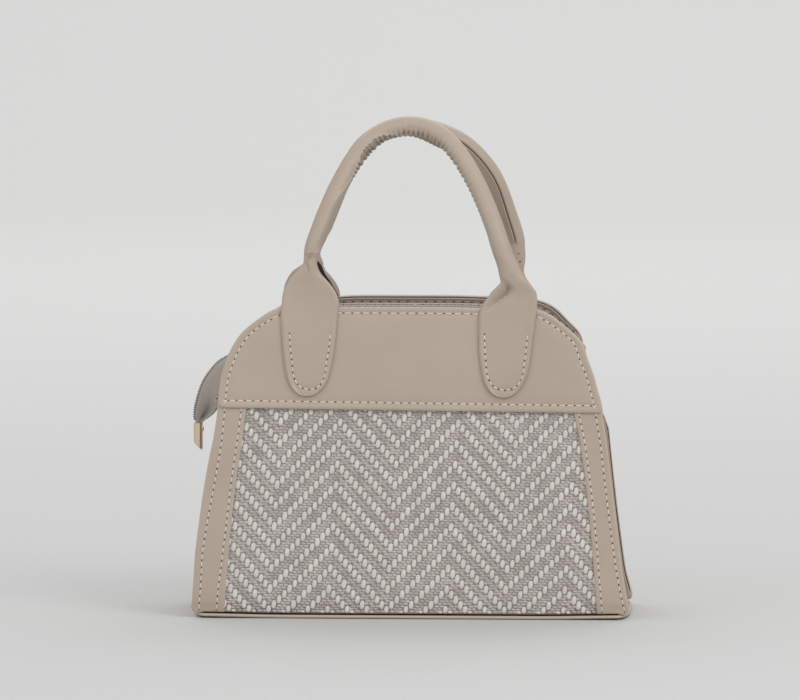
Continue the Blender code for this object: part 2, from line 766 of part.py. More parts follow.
def build_lining():
    foot = PANEL_FOOT + BASE_BOARD + GAP
    depth = BOARD + GAP
    lining = dome_block("lining", LINING_INSET, depth, foot, LINING_CLOTH)
    hollow = dome_block("lining_hollow", LINING_INSET + LINING, depth + LINING,
                        foot + LINING, None, cutter=True)
    cut(lining, hollow)
    half_y = wall_y(BODY_HEIGHT) - 3 * BOARD
    high = BODY_HEIGHT + FLANGE
    low = BODY_HEIGHT - 3 * FLANGE
    mouth = box_mesh("lining_mouth", (-TOP_HALF_LENGTH, -half_y, low),
                     (TOP_HALF_LENGTH, half_y, high))
    cut(lining, add_mesh("lining_mouth", mesh=mouth, material=None, cutter=True))


# Strap loops

def build_strap_loops():
    """A leather bridge on each gusset, sewn down at both feet."""
    def build(name, low, high, turn):
        stations = turn(shoulder_stations(low, high, (high - low) / 16))
        seat = -FLANGE + GAP
        last = len(stations) - 1
        heights = {}
        for i, s in enumerate(stations):
            share = i / last
            if share < LOOP_FOOT or share > 1.0 - LOOP_FOOT:
                lift = 0.0
            else:
                along = (share - LOOP_FOOT) / (1.0 - 2 * LOOP_FOOT)
                lift = LOOP_STAND * math.sin(math.pi * along) ** 0.6
            heights[round(s.z, 7)] = seat + lift

        def section(station):
            under = heights[round(station.z, 7)]
            over = under + GUSSET_LEATHER
            half = LOOP_HALF_WIDTH
            return [(under, 0, -half), (over, 0, -half), (over, 0, half), (under, 0, half)]

        sweep(name, stations, section, TAUPE_LEATHER)

    build("strap_loop_right", LOOP_LOW_ANGLE, LOOP_HIGH_ANGLE, list)
    build("strap_loop_left", TAIL_LOOP_LOW_ANGLE, TAIL_LOOP_HIGH_ANGLE, mirrored)


# Zip tail

def oval(centre, across, reach, depth, count=12):
    """An oval ring about a centre: reach along a direction in XZ, depth in Y."""
    ring = []
    for i in range(count):
        turn = 2 * math.pi * i / count
        ring.append(Vector((
            centre[0] + across[0] * reach * math.cos(turn),
            centre[1] + depth * math.sin(turn),
            centre[2] + across[1] * reach * math.cos(turn),
        )))
    return ring


def build_zip_tail():
    """The free end of the zip: flat at the seam, folded along itself at the clip."""
    root = mirrored([shoulder_station(ZIP_END_ANGLE - 1.0)])[0]
    seat = -FLANGE + GAP + TAIL_SEAM_HALF_THICKNESS
    hinge = new_empty("tail_hinge", (root.x + seat * root.nx, 0.0, root.z + seat * root.nz))
    inside = CLIP_TOP - CLIP_GRIP
    bore_x = CLIP_HALF_WIDTH - CLIP_WALL - GAP
    bore_y = CLIP_HALF_DEPTH - CLIP_WALL - GAP
    rows = [(hinge.location.x, hinge.location.z, 0.0, TAIL_SEAM_HALF_THICKNESS,
             TAIL_SEAM_HALF_WIDTH)]
    rows += TAIL_LINE
    rows += [(CLIP_X, z, TAIL_Y, bore_x, bore_y) for z in (CLIP_TOP, inside)]
    rings = []
    for i, (x, z, y, reach, depth) in enumerate(rows):
        before = rows[max(0, i - 1)]
        after = rows[min(len(rows) - 1, i + 1)]
        run = Vector((after[0] - before[0], after[1] - before[1])).normalized()
        across = (-run.y, run.x)
        ring = oval((x, y, z), across, reach, depth)
        rings.append([point - hinge.location for point in ring])
    mesh = mesh_from_rings("zip_tail", rings)
    shade(mesh)
    add_mesh("zip_tail", mesh, ZIP_CLOTH, hinge)
    build_clip(hinge, inside)


def build_clip(hinge, inside):
    """A folded metal end clip with a slanting lower end, open at the top."""
    def column(name, half_x, half_y, low, high, slant, cutter):
        rings = []
        for z, tilt in ((low, slant), (high, 0.0)):
            ring = oval((CLIP_X, TAIL_Y, z), (1.0, 0.0), half_x, half_y, 16)
            for point in ring:
                point.z -= tilt * (point.x - CLIP_X + half_x) / (2 * half_x)
            rings.append([point - hinge.location for point in ring])
        mesh = mesh_from_rings(name, rings)
        shade(mesh)
        return add_mesh(name, mesh, PALE_GOLD, hinge, cutter)

    low = CLIP_TOP - CLIP_LENGTH + CLIP_SLANT
    clip = column("zip_end_clip", CLIP_HALF_WIDTH, CLIP_HALF_DEPTH, low, CLIP_TOP,
                  CLIP_SLANT, False)
    bore = column("clip_bore", CLIP_HALF_WIDTH - CLIP_WALL, CLIP_HALF_DEPTH - CLIP_WALL,
                  inside - GAP, CLIP_TOP + CLIP_WALL, 0.0, True)
    cut(clip, bore)


# Handles

def build_handle_tabs():
    """Each end of a handle opens out into a tab that is sewn to the yoke."""
    def rows(tab_x, neck_x):
        lift = TAB_LIFT + TAB_LEATHER / 2
        half = TAB_LEATHER / 2
        found = []
        for i in range(7):
            turn = math.radians(12.0 + 78.0 * i / 6)
            z = TAB_ROUND_TOP - (TAB_ROUND_TOP - TAB_TIP) * math.cos(turn)
            found.append((tab_x, z, TAB_ROUND_HALF * math.sin(turn), half, lift))
        found.append((tab_x, TAB_WIDE_HEIGHT, TAB_WIDE_HALF, half, lift))
        swell = NECK_HEIGHT - TAB_WIDE_HEIGHT
        for share, width, depth in ((0.2, 0.985, 0.12), (0.4, 0.86, 0.34), (0.6, 0.62, 0.62),
                                    (0.8, 0.36, 0.86), (1.0, 0.0, 1.0)):
            x = tab_x + (neck_x - tab_x) * share
            wide = NECK_HALF_WIDTH + (TAB_WIDE_HALF - NECK_HALF_WIDTH) * width
            thick = half + (NECK_HALF_DEPTH - half) * depth
            found.append((x, TAB_WIDE_HEIGHT + swell * share, wide, thick, lift))
        return found

    ends = (
        (FRONT, "front_handle_tab_left", FRONT_TAB_LEFT_X, FRONT_NECK_LEFT_X),
        (FRONT, "front_handle_tab_right", FRONT_TAB_RIGHT_X, FRONT_NECK_RIGHT_X),
        (REAR, "rear_handle_tab_left", REAR_TAB_LEFT_X, REAR_NECK_LEFT_X),
        (REAR, "rear_handle_tab_right", REAR_TAB_RIGHT_X, REAR_NECK_RIGHT_X),
    )
    for side, name, tab_x, neck_x in ends:
        rings = []
        for x, z, wide, thick, lift in rows(-side * tab_x, -side * neck_x):
            ring = []
            for i in range(16):
                turn = 2 * math.pi * i / 16
                c = math.cos(turn)
                s = math.sin(turn)
                flat = 0.5 if thick < TAB_LEATHER else 0.8
                out = lift + thick * math.copysign(abs(s) ** flat, s)
                along = z / math.cos(LEAN) - out * math.tan(LEAN)
                across = x + wide * math.copysign(abs(c) ** flat, c)
                ring.append(Vector((across, along, out)))
            rings.append(ring)
        mesh = mesh_from_rings(name, rings)
        shade(mesh)
        add_mesh(name, mesh, TAUPE_LEATHER, FRAMES[side])


def smooth_line(points, per_span):
    """A Catmull-Rom curve through the points."""
    padded = [points[0] * 2 - points[1]] + points + [points[-1] * 2 - points[-2]]
    line = []
    for a, b, c, d in zip(padded, padded[1:], padded[2:], padded[3:]):
        for i in range(per_span):
            t = i / per_span
            line.append(0.5 * (2 * b + (c - a) * t + (2 * a - 5 * b + 4 * c - d) * t ** 2
                               + (3 * b - a - 3 * c + d) * t ** 3))
    line.append(points[-1])
    return line


def build_grips():
    """A leather tube round a cord core. It hinges at the front of its necks."""
    neck_y = wall_y(NECK_HEIGHT) + TAB_LIFT + TAB_LEATHER / 2
    hinge_y = neck_y + HANDLE_RADIUS + GAP
    hinge_z = NECK_HEIGHT + GAP
    foot = NECK_HEIGHT + 2 * GAP
    stub = foot + HANDLE_STUB
    ends = (
        (FRONT, "front", 0.0, FRONT_NECK_LEFT_X, FRONT_HANDLE_LINE, FRONT_NECK_RIGHT_X),
        (REAR, "rear", math.pi, REAR_NECK_LEFT_X, REAR_HANDLE_LINE, REAR_NECK_RIGHT_X),
    )
    for side, face, turn, left, line, right in ends:
        lean = (neck_y - HANDLE_TOP_Y) / (max(z for x, z in line) - stub)
        hinge = new_empty(face + "_handle_hinge", (0.0, side * hinge_y, hinge_z),
                          (0.0, 0.0, turn))
        full = [(left, foot), (left, stub)] + line + [(right, stub), (right, foot)]
        route = []
        for x, z in full:
            in_from_hinge = hinge_y - neck_y + lean * max(0.0, z - stub)
            route.append(Vector((-side * x, in_from_hinge, z - hinge_z)))
        route = [route[0]] + smooth_line(route[1:-1], 2) + [route[-1]]
        skin = tube_mesh(face + "_handle_grip", route, HANDLE_RADIUS, 12, capped=False)
        shade(skin)
        grip = add_mesh(face + "_handle_grip", skin, TAUPE_LEATHER, hinge)
        wall = grip.modifiers.new("wall", "SOLIDIFY")
        wall.thickness = HANDLE_LEATHER
        wall.offset = -1.0
        core = tube_mesh(face + "_handle_core", route,
                         HANDLE_RADIUS - HANDLE_LEATHER - GAP, 8)
        shade(core)
        add_mesh(face + "_handle_core", core, HANDLE_CORD, hinge)


build_base()
build_faces()
build_side_gussets()
build_zip_facings()
build_mouth_flaps()
build_zip_ends()
build_slider()
build_lining()
build_strap_loops()
build_zip_tail()
build_handle_tabs()
build_grips()
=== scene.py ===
import bisect
from math import atan, ceil, copysign, cos, exp, hypot, pi, radians, sin, sqrt, tan
import bmesh
import bpy
from mathutils import Matrix, Vector, noise


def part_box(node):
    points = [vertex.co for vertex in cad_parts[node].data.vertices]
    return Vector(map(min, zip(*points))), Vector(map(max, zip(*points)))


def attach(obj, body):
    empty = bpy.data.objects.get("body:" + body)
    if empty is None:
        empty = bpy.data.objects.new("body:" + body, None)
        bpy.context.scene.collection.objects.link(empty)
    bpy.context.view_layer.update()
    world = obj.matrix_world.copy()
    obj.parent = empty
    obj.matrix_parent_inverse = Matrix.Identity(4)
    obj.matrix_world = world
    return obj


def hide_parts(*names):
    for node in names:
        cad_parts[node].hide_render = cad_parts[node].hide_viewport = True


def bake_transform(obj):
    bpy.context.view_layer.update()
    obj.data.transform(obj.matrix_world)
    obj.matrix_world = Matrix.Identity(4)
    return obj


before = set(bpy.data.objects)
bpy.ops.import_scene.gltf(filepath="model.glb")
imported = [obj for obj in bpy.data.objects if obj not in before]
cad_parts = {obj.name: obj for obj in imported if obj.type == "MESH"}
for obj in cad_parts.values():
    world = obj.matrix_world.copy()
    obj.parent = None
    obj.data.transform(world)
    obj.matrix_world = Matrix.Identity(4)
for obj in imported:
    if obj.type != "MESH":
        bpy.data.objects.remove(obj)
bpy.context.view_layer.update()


# Studio: a pale paper sweep with a large soft box above and to the right, weaker ones at the left and
# in front, and an even pale surround. The camera is a long lens 4 m away, 3 degrees to the bag's right.
def linear(colour, shade=1.0):
    """An sRGB hex colour as linear red, green, blue and full alpha, and made darker or lighter."""
    channels = [int(colour[i:i + 2], 16) / 255 for i in (1, 3, 5)]
    return [shade * (c / 12.92 if c <= 0.04045 else ((c + 0.055) / 1.055) ** 2.4) for c in channels] + [1.0]


def add_node(tree, kind, inputs=None, **settings):
    """Add a node with its settings, and fill or link its inputs."""
    made = tree.nodes.new(kind)
    for name, value in settings.items():
        setattr(made, name, value)
    for key, value in (inputs or {}).items():
        if isinstance(value, bpy.types.NodeSocket):
            tree.links.new(value, made.inputs[key])
        else:
            made.inputs[key].default_value = value
    return made


def new_finish(name, colour, roughness, **shader_inputs):
    """A material with its shader and a texture space in metres."""
    finish = bpy.data.materials.new(name)
    finish.use_nodes = True
    shader = finish.node_tree.nodes["Principled BSDF"]
    shader.inputs["Base Color"].default_value = linear(colour)
    shader.inputs["Roughness"].default_value = roughness
    for key, value in shader_inputs.items():
        shader.inputs[key.replace("_", " ")].default_value = value
    space = add_node(finish.node_tree, "ShaderNodeTexCoord").outputs["Object"]
    return finish, finish.node_tree, shader, space


def new_object(name, data):
    made = bpy.data.objects.new(name, data)
    bpy.context.scene.collection.objects.link(made)
    return made


def quarter_turn(steps, first=0):
    """Angles up to 90 degrees in equal steps."""
    return [radians(90 * i / steps) for i in range(first, steps + 1)]


floor_front, floor_back, sweep_radius, sweep_top, sweep_half_width = -7.0, 4.2, 2.5, 9.0, 8.0
sweep_line = [(floor_front, 0.0), (floor_back, 0.0)]
sweep_line += [(floor_back + sweep_radius * sin(turn), sweep_radius * (1 - cos(turn)))
               for turn in quarter_turn(24, 1)]
sweep_line.append((floor_back + sweep_radius, sweep_top))
sweep_mesh = bpy.data.meshes.new("paper_sweep")
sweep_mesh.from_pydata([(x, y, z) for y, z in sweep_line for x in (-sweep_half_width, sweep_half_width)], [],
                       [(2 * i, 2 * i + 1, 2 * i + 3, 2 * i + 2) for i in range(len(sweep_line) - 1)])
sweep_mesh.shade_smooth()
# Backdrop paper: uncoated and matt, so it takes the bag's soft shadow and no highlight.
sweep_mesh.materials.append(new_finish("matt_backdrop_paper", "#c7c7c5", 0.9)[0])
new_object("paper_sweep", sweep_mesh)

surround = bpy.data.worlds.new("pale_surround")
surround.use_nodes = True
surround.node_tree.nodes["Background"].inputs["Color"].default_value = (0.97, 0.985, 1.0, 1.0)
surround.node_tree.nodes["Background"].inputs["Strength"].default_value = 0.74
bpy.context.scene.world = surround
bpy.context.scene.view_settings.view_transform = "Standard"


def point_at(thing, location, aim):
    """Put a lamp or the camera somewhere, looking at a point."""
    thing.location = location
    thing.rotation_euler = (Vector(aim) - thing.location).to_track_quat("-Z", "Y").to_euler()


for name, location, aim, size, watts in (
    ("soft_box_right", (1.5, -1.5, 1.6), (0.0, 0.0, 0.12), 1.2, 16.0),
    ("soft_box_left", (-1.5, -1.6, 1.2), (0.0, 0.0, 0.10), 1.2, 4.0),
    ("soft_box_front", (0.1, -2.6, 1.3), (0.0, 0.0, 0.10), 1.4, 9.0),
    ("backdrop_wash", (0.0, 3.4, 2.9), (0.0, 3.5, 0.0), 4.5, 88.0),
):
    lamp = bpy.data.lights.new(name, "AREA")
    lamp.shape, lamp.size, lamp.energy = "SQUARE", size, watts
    point_at(new_object(name, lamp), location, aim)

camera_distance, camera_turn, camera_height, face_y = 4.0, radians(3.0), 0.43, -0.045
sensor_mm, pixel_size, picture_pixels = 36.0, 0.0005460, 800
lens = bpy.data.cameras.new("long_lens")
lens.lens = sensor_mm * (camera_distance / pixel_size) / picture_pixels
lens.clip_end = 50.0
camera = new_object("long_lens", lens)
point_at(camera, (camera_distance * sin(camera_turn), face_y - camera_distance * cos(camera_turn), camera_height),
         (-0.0055, face_y, 0.1481))
bpy.context.scene.camera = camera


# Base: a leather panel turned up round its edge into a low welt, with a stiff board above it.
# The body's outline and the way it has settled are the same for every piece that follows.
base_half_width, shoulder_half_width, shoulder_height = 0.1205, 0.106, 0.1125
top_half_length, body_height = 0.064, 0.170
base_depth, top_depth = 0.084, 0.060
shoulder_reach = shoulder_half_width - top_half_length
shoulder_rise = body_height - shoulder_height
lean = atan((base_depth - top_depth) / 2 / body_height)
flange, gusset_leather, panel_foot, base_corner = 0.0045, 0.0012, 0.0025, 0.005


def mm(rows):
    """Rows of millimetres in metres."""
    return [tuple(value / 1000 for value in row) for row in rows]


def ease(value, low, high):
    """0 below low, 1 above high, and smooth between."""
    share = min(1.0, max(0.0, (value - low) / (high - low)))
    return share * share * (3.0 - 2.0 * share)


def hump(value, middle, reach):
    """1 at the middle, falling off smoothly on both sides."""
    return exp(-((value - middle) / reach) ** 2)


def waver(x, y, z):
    return noise.noise(Vector((x, y, z)))


def settled(point):
    """The worn bag: shoulders leaning to its left, the right one lower and pulled in by its loop, the
    top dipping to the right, the rear standing a little higher, and the base's corners lifting."""
    x, y, z = point
    rise = min(1.0, max(0.0, (z - shoulder_height) / shoulder_rise))
    right, behind = ease(x, 0.050, 0.080), ease(y, -0.03, 0.03)
    in_front = 1 - behind
    shift = 0.004 - 0.0035 * sqrt(1.0 - rise * rise)
    shift *= ease(abs(x), 0.046, 0.066) * ease(z, 0.096, 0.116)
    shift += right * ease(z, 0.114, 0.130) * ease(0.172 - z, 0.0, 0.012) * (0.0024 - 0.0008 * in_front)
    shift += ease(x, 0.085, 0.103) * behind * 0.0036 * ease(z, 0.098, 0.118) * ease(0.164 - z, 0.0, 0.025)
    shift += ease(x, 0.102, 0.114) * (0.0005 + 0.0012 * behind) * ease(z, 0.0, 0.02)
    shift += ease(-x, 0.103, 0.113) * 0.0027 * ease(z, 0.0, 0.040) * ease(0.116 - z, 0.0, 0.03)
    shift -= right * (0.0018 - 0.0008 * behind) * hump(z, 0.1510, 0.0050)
    shift += right * behind * 0.0012 * hump(z, 0.1580, 0.0050)
    shift -= ease(-x, 0.050, 0.070) * 0.0021 * hump(z, 0.1645, 0.0065)
    shift -= copysign(0.0006, x) * ease(0.03 - z, 0.0, 0.03) * ease(abs(x), 0.08, 0.115)
    slope = 0.0105 * min(0.105, max(-0.105, x))
    top = 0.0015 * ease(x, 0.018, 0.072) - 0.0007
    upper = ease(z, 0.125, 0.165)
    dip = (slope * (1 - upper) + top * upper) * ease(z, 0.098, 0.113)
    dip += ease(x, 0.052, 0.080) * ease(z, 0.138, 0.158) * (0.0001 - 0.0019 * in_front)
    high = behind * ease(z, 0.13, 0.165) * (0.0051 * ease(x, -0.090, -0.030) - 0.0026)
    lift = 0.0007 * ease(abs(x), 0.070, 0.119) * ease(0.03 - z, 0.0, 0.03)
    return Vector((x - shift, y, z - dip + high + lift))


def half_width(z):
    """Half the body's width at a height."""
    if z <= shoulder_height:
        return base_half_width - (base_half_width - shoulder_half_width) * z / shoulder_height
    rise = min((z - shoulder_height) / shoulder_rise, 1.0)
    return top_half_length + shoulder_reach * sqrt(1.0 - rise * rise)


def swell(x, z, side):
    """Slow, shallow waves of a soft face, which tucks in a little at its foot."""
    tuck = 0.0012 * ease(0.009 - z, 0.0, 0.0065)
    return 0.0008 * waver(x * 19 + side * 3, z * 23, side * 5) * ease(0.125 - abs(x), 0.0, 0.03) - tuck


def plane_y(z):
    """Half the body's depth at a height."""
    return base_depth / 2 - tan(lean) * z


def face_point(x, z, lift, side, move=settled):
    """A place on the front or rear face: x, height, and lift off its inner side."""
    y = plane_y(z) + swell(x, z, side) + lift * cos(lean)
    return move((x, side * y, z + lift * sin(lean)))


def ring_at(outline, inset, arc_steps):
    """An outline of (x, z, corner radius, share of the inset on the edge that follows), drawn in."""
    ring = []
    for i, (x, z, radius, share) in enumerate(outline):
        before, after = outline[i - 1], outline[(i + 1) % len(outline)]
        here = Vector((x, z))
        into = (here - Vector(before[:2])).normalized()
        away = (Vector(after[:2]) - here).normalized()
        wall_in, wall_out = Vector((-into.y, into.x)), Vector((-away.y, away.x))
        step_in, step_out = inset * before[3], inset * share
        twist = wall_in.x * wall_out.y - wall_in.y * wall_out.x
        if abs(twist) < 0.02:
            here += (wall_in + wall_out).normalized() * (step_in + step_out) / 2
        else:
            here += Vector(((step_in * wall_out.y - step_out * wall_in.y) / twist,
                            (wall_in.x * step_out - wall_out.x * step_in) / twist))
        if radius == 0.0:
            ring.append(here)
            continue
        radius = max(radius - inset, 0.0002)
        centre = here - into * radius * tan(into.angle(away) / 2) + wall_in * radius
        for k in range(arc_steps + 1):
            ring.append(centre + (-wall_in).lerp(-wall_out, k / arc_steps).normalized() * radius)
    return ring


def dress(name, mesh, finish, nodes, body="bag", ends=None):
    """Put a finished mesh in the scene for its solid nodes: on a body, or left unparented where it has ends."""
    if not mesh.materials:
        mesh.materials.append(finish)
    piece = new_object(name, mesh)
    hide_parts(*nodes)
    if ends:
        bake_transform(piece)
    else:
        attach(piece, body)


def skin(name, rings, caps=True, sharp=50.0, values=None, put=None, cell=0.0, shades=None):
    """Faces between equal rings, their ends closed; cut into cells, then put in place. Values is each
    ring's distance from an edge, and shades how much painted shade darkens each point, in the rings' order."""
    built = bmesh.new()
    layer = built.verts.layers.float.new("edge_mm")
    rows = [[built.verts.new(point) for point in ring] for ring in rings]
    for i, row in enumerate(rows):
        for vertex in row:
            vertex[layer] = values[i] if values else 5.0
    for low, high in zip(rows, rows[1:]):
        for i in range(len(low)):
            j = (i + 1) % len(low)
            built.faces.new((low[i], low[j], high[j], high[i]))
    if caps:
        built.faces.new(rows[0])
        built.faces.new(rows[-1])
    for axis in (0, 2) if cell else ():
        places = [vertex.co[axis] for vertex in built.verts]
        for k in range(ceil(min(places) / cell), ceil(max(places) / cell)):
            point, normal = [0.0, 0.0, 0.0], [0.0, 0.0, 0.0]
            point[axis], normal[axis] = k * cell, 1.0
            everything = built.verts[:] + built.edges[:] + built.faces[:]
            bmesh.ops.bisect_plane(built, geom=everything, plane_co=point, plane_no=normal)
    if put:
        for vertex in built.verts:
            vertex.co = put(vertex.co.x, vertex.co.z, vertex.co.y)
    bmesh.ops.recalc_face_normals(built, faces=built.faces)
    mesh = bpy.data.meshes.new(name)
    built.to_mesh(mesh)
    built.free()
    if shades:
        layer = mesh.attributes.new("shade", "FLOAT", "POINT").data
        layer.foreach_set("value", [s for row in shades for s in row])
    mesh.shade_smooth()
    mesh.set_sharp_from_angle(angle=radians(sharp))
    return mesh


def plate(name, outline, profile, side=0, arc_steps=6):
    """A cut panel with its edge turned, on a face or lying flat. Profile is (inset from the edge, lift) in
    mm, back to front."""
    profile = mm(profile)
    rings = [[Vector((p.x, lift, p.y)) for p in ring_at(outline, inset, arc_steps)]
             for inset, lift in profile]
    return skin(name, rings, values=[inset * 1000 for inset, _ in profile], cell=0.009,
                put=lambda x, z, lift: face_point(x, z, lift, side) if side else settled((x, z, lift)))


def rough_finish(name, colour, roughness, pattern, inputs, strength, depth, **shader_inputs):
    """A plain material raised by one pattern. A noise's scale is 1 over the size of its marks in metres."""
    finish, tree, shader, space = new_finish(name, colour, roughness, **shader_inputs)
    raised = add_node(tree, pattern, {"Vector": space, **inputs})
    bump = add_node(tree, "ShaderNodeBump",
                    {"Height": raised.outputs["Fac"], "Strength": strength, "Distance": depth})
    tree.links.new(bump.outputs["Normal"], shader.inputs["Normal"])
    return finish


# Coated leather: polyurethane on a cloth backing, pressed with a very fine grain. It is satin, takes
# soft highlights, and is a shade lighter where an edge is folded or rubbed.
def leather_finish(name, colour, roughness):
    finish, tree, shader, space = new_finish(name, colour, roughness, Coat_Weight=0.08,
                                             Coat_Roughness=0.35, Sheen_Weight=0.05)
    grain = add_node(tree, "ShaderNodeTexVoronoi", {"Vector": space, "Scale": 1 / 0.0007, "Randomness": 0.95},
                     feature="SMOOTH_F1")
    pores = add_node(tree, "ShaderNodeTexNoise",
                     {"Vector": space, "Scale": 1 / 0.0016, "Detail": 3.0, "Roughness": 0.6}).outputs["Fac"]
    drift = add_node(tree, "ShaderNodeTexNoise",
                     {"Vector": space, "Scale": 1 / 0.045, "Detail": 3.0, "Roughness": 0.5})
    tone = add_node(tree, "ShaderNodeMapRange",
                    {"Value": drift.outputs["Fac"], "From Min": 0.3, "From Max": 0.7})
    mix = add_node(tree, "ShaderNodeMix", {"Factor": tone.outputs[0], "A": linear(colour, 0.955),
                                           "B": linear(colour, 1.035)}, data_type="RGBA")
    rim = add_node(tree, "ShaderNodeAttribute", attribute_name="edge_mm")
    worn = add_node(tree, "ShaderNodeMapRange", {"Value": rim.outputs["Fac"], "From Min": 0.2, "From Max": 1.1,
                                                 "To Min": 0.35, "To Max": 0.0})
    edge = add_node(tree, "ShaderNodeMix", {"Factor": worn.outputs[0], "A": mix.outputs[2],
                                            "B": linear("#c9b7a4")}, data_type="RGBA")
    # Painted shade: the mesh's shade attribute darkens the leather towards #4a3f36 in recesses, folds and under the
    # handles' rolls.
    hollow = add_node(tree, "ShaderNodeAttribute", attribute_name="shade")
    deep = add_node(tree, "ShaderNodeMix", {"Factor": hollow.outputs["Fac"], "A": edge.outputs[2],
                                            "B": linear("#4a3f36")}, data_type="RGBA")
    fine = add_node(tree, "ShaderNodeBump", {"Height": grain.outputs["Distance"], "Strength": 0.10,
                                             "Distance": 0.0002})
    both = add_node(tree, "ShaderNodeBump", {"Height": pores, "Strength": 0.12, "Distance": 0.0003,
                                             "Normal": fine.outputs["Normal"]})
    gloss = add_node(tree, "ShaderNodeMapRange", {"Value": pores, "To Min": roughness - 0.05,
                                                  "To Max": roughness + 0.07})
    tree.links.new(deep.outputs[2], shader.inputs["Base Color"])
    tree.links.new(both.outputs["Normal"], shader.inputs["Normal"])
    tree.links.new(gloss.outputs[0], shader.inputs["Roughness"])
    return finish


taupe_leather = leather_finish("coated_leather_taupe", "#b0a091", 0.46)
base_outline = []
for bow in [i / 5 - 1 for i in range(11)]:
    corner_radius = 0.0045 if abs(bow) == 1.0 else 0.0
    base_outline.append((0.1152 + 0.0046 * (1 - bow ** 4), 0.0452 * bow, corner_radius, 1.0))
base_outline += [(-x, -y, radius, 1.0) for x, y, radius, _ in base_outline]
base_profile = [(14, 0), (5, 0), (3, 0.1), (1.2, 0.2), (0.3, 0.5), (0, 1), (0.1, 1.6), (0.6, 2),
                (1.4, 1.9), (2.2, 1.6), (4, 1.6), (14, 1.8)]
dress("base_panel_leather", plate("base_panel_leather", base_outline, base_profile, arc_steps=8), taupe_leather,
      ["base_panel"])
board_outline = [(sx * 0.1125, sy * 0.0405, 0.004, 1.0) for sx, sy in ((1, -1), (1, 1), (-1, 1), (-1, -1))]
# Grey board: pressed paper fibre, dull, with a slight roughness in marks 1.1 mm across.
grey_board = rough_finish("grey_board_pressed_fibre", "#8c8a86", 0.85, "ShaderNodeTexNoise",
                          {"Scale": 900.0, "Detail": 4.0}, 0.3, 0.0003)
board_profile = [(0.3, 2.6), (0, 2.9), (0, 3.7), (0.3, 4)]
dress("base_board_grey", plate("base_board_grey", board_outline, board_profile), grey_board,
      ["base_board"])


# Interlining: a black stiffened cloth behind each face, cut to the body's outline. Its raw edge
# shows as a thin dark line between the face and the lip that is sewn behind it.
def shoulder(turn):
    """A point (x, z) of the outline's right shoulder, by its angle from level."""
    return top_half_length + shoulder_reach * cos(turn), shoulder_height + shoulder_rise * sin(turn)


def mirrored(right):
    """An outline's right half, going up, and its left half, going down."""
    return right + [(-x, z, radius, share) for x, z, radius, share in reversed(right)]


sides = {"front": -1, "rear": 1}
body_outline = mirrored([(half_width(panel_foot), panel_foot, base_corner, 1.0)]
                        + [(*shoulder(turn), 0.0, 1.0) for turn in quarter_turn(12)])
# Black cloth: dull, so it reads as a dark gap, with a slight roughness in marks 0.7 mm across.
black_cloth = rough_finish("black_stiffened_cloth", "#1c1a19", 0.9, "ShaderNodeTexNoise",
                           {"Scale": 1500.0, "Detail": 2.0}, 0.3, 0.0002)
for face, side in sides.items():
    cloth_profile = [(0.8, -0.6), (0.6, -0.3), (0.6, 0.1), (0.8, 0.2)]
    cloth_mesh = plate(face + "_interlining", body_outline, cloth_profile, side)
    dress(face + "_interlining", cloth_mesh, black_cloth, [face + "_backing"])


# Lockstitch: off-white polyester thread, one thread over each pitch, with a needle hole where it dives.
# Stitches, yarn floats and zip teeth are all one small shape set on a list of places.
repeat_tree = bpy.data.node_groups.new("small_shape_on_places", "GeometryNodeTree")
repeat_tree.interface.new_socket(name="Geometry", in_out="OUTPUT", socket_type="NodeSocketGeometry")
for name, kind, default in (("Places", "Geometry", None), ("Segments", "Int", 8), ("Rings", "Int", 6),
                            ("Fullness", "Float", 1.0), ("Unevenness", "Float", 0.06), ("Seed", "Int", 7),
                            ("First Material", "Material", None), ("Second Material", "Material", None)):
    socket = repeat_tree.interface.new_socket(name=name, in_out="INPUT", socket_type="NodeSocket" + kind)
    if default is not None:
        socket.default_value = default
given = add_node(repeat_tree, "NodeGroupInput").outputs
shape = add_node(repeat_tree, "GeometryNodeMeshUVSphere",
                 {"Segments": given["Segments"], "Rings": given["Rings"], "Radius": 1.0})
corner = add_node(repeat_tree, "GeometryNodeInputPosition").outputs[0]
corner_size = add_node(repeat_tree, "ShaderNodeVectorMath", {0: corner}, operation="ABSOLUTE")
corner_sign = add_node(repeat_tree, "ShaderNodeVectorMath", {0: corner}, operation="SIGN")
power = add_node(repeat_tree, "ShaderNodeCombineXYZ", {axis: given["Fullness"] for axis in "XYZ"})
filled = add_node(repeat_tree, "ShaderNodeVectorMath", {0: corner_size.outputs[0], 1: power.outputs[0]},
                  operation="POWER")
signed = add_node(repeat_tree, "ShaderNodeVectorMath", {0: filled.outputs[0], 1: corner_sign.outputs[0]},
                  operation="MULTIPLY")
fuller = add_node(repeat_tree, "GeometryNodeSetPosition",
                  {"Geometry": shape.outputs["Mesh"], "Position": signed.outputs[0]})
turn_of, size_of, kind_of = [
    add_node(repeat_tree, "GeometryNodeInputNamedAttribute", {"Name": name}, data_type=kind).outputs[0]
    for name, kind in (("turn", "FLOAT_VECTOR"), ("size", "FLOAT_VECTOR"), ("kind", "BOOLEAN"))]
less, more = [
    add_node(repeat_tree, "ShaderNodeMath", {0: 1.0, 1: given["Unevenness"]}, operation=operation).outputs[0]
    for operation in ("SUBTRACT", "ADD")]
uneven = add_node(repeat_tree, "FunctionNodeRandomValue", {2: less, 3: more, "Seed": given["Seed"]})
grown = add_node(repeat_tree, "ShaderNodeVectorMath", {0: size_of, "Scale": uneven.outputs[1]}, operation="SCALE")
turned = add_node(repeat_tree, "FunctionNodeEulerToRotation", {0: turn_of})
placed = add_node(repeat_tree, "GeometryNodeInstanceOnPoints",
                  {"Points": given["Places"], "Instance": fuller.outputs[0],
                   "Rotation": turned.outputs[0], "Scale": grown.outputs[0]})
real = add_node(repeat_tree, "GeometryNodeRealizeInstances", {"Geometry": placed.outputs[0]})
rounded = add_node(repeat_tree, "GeometryNodeSetShadeSmooth", {"Geometry": real.outputs[0]})
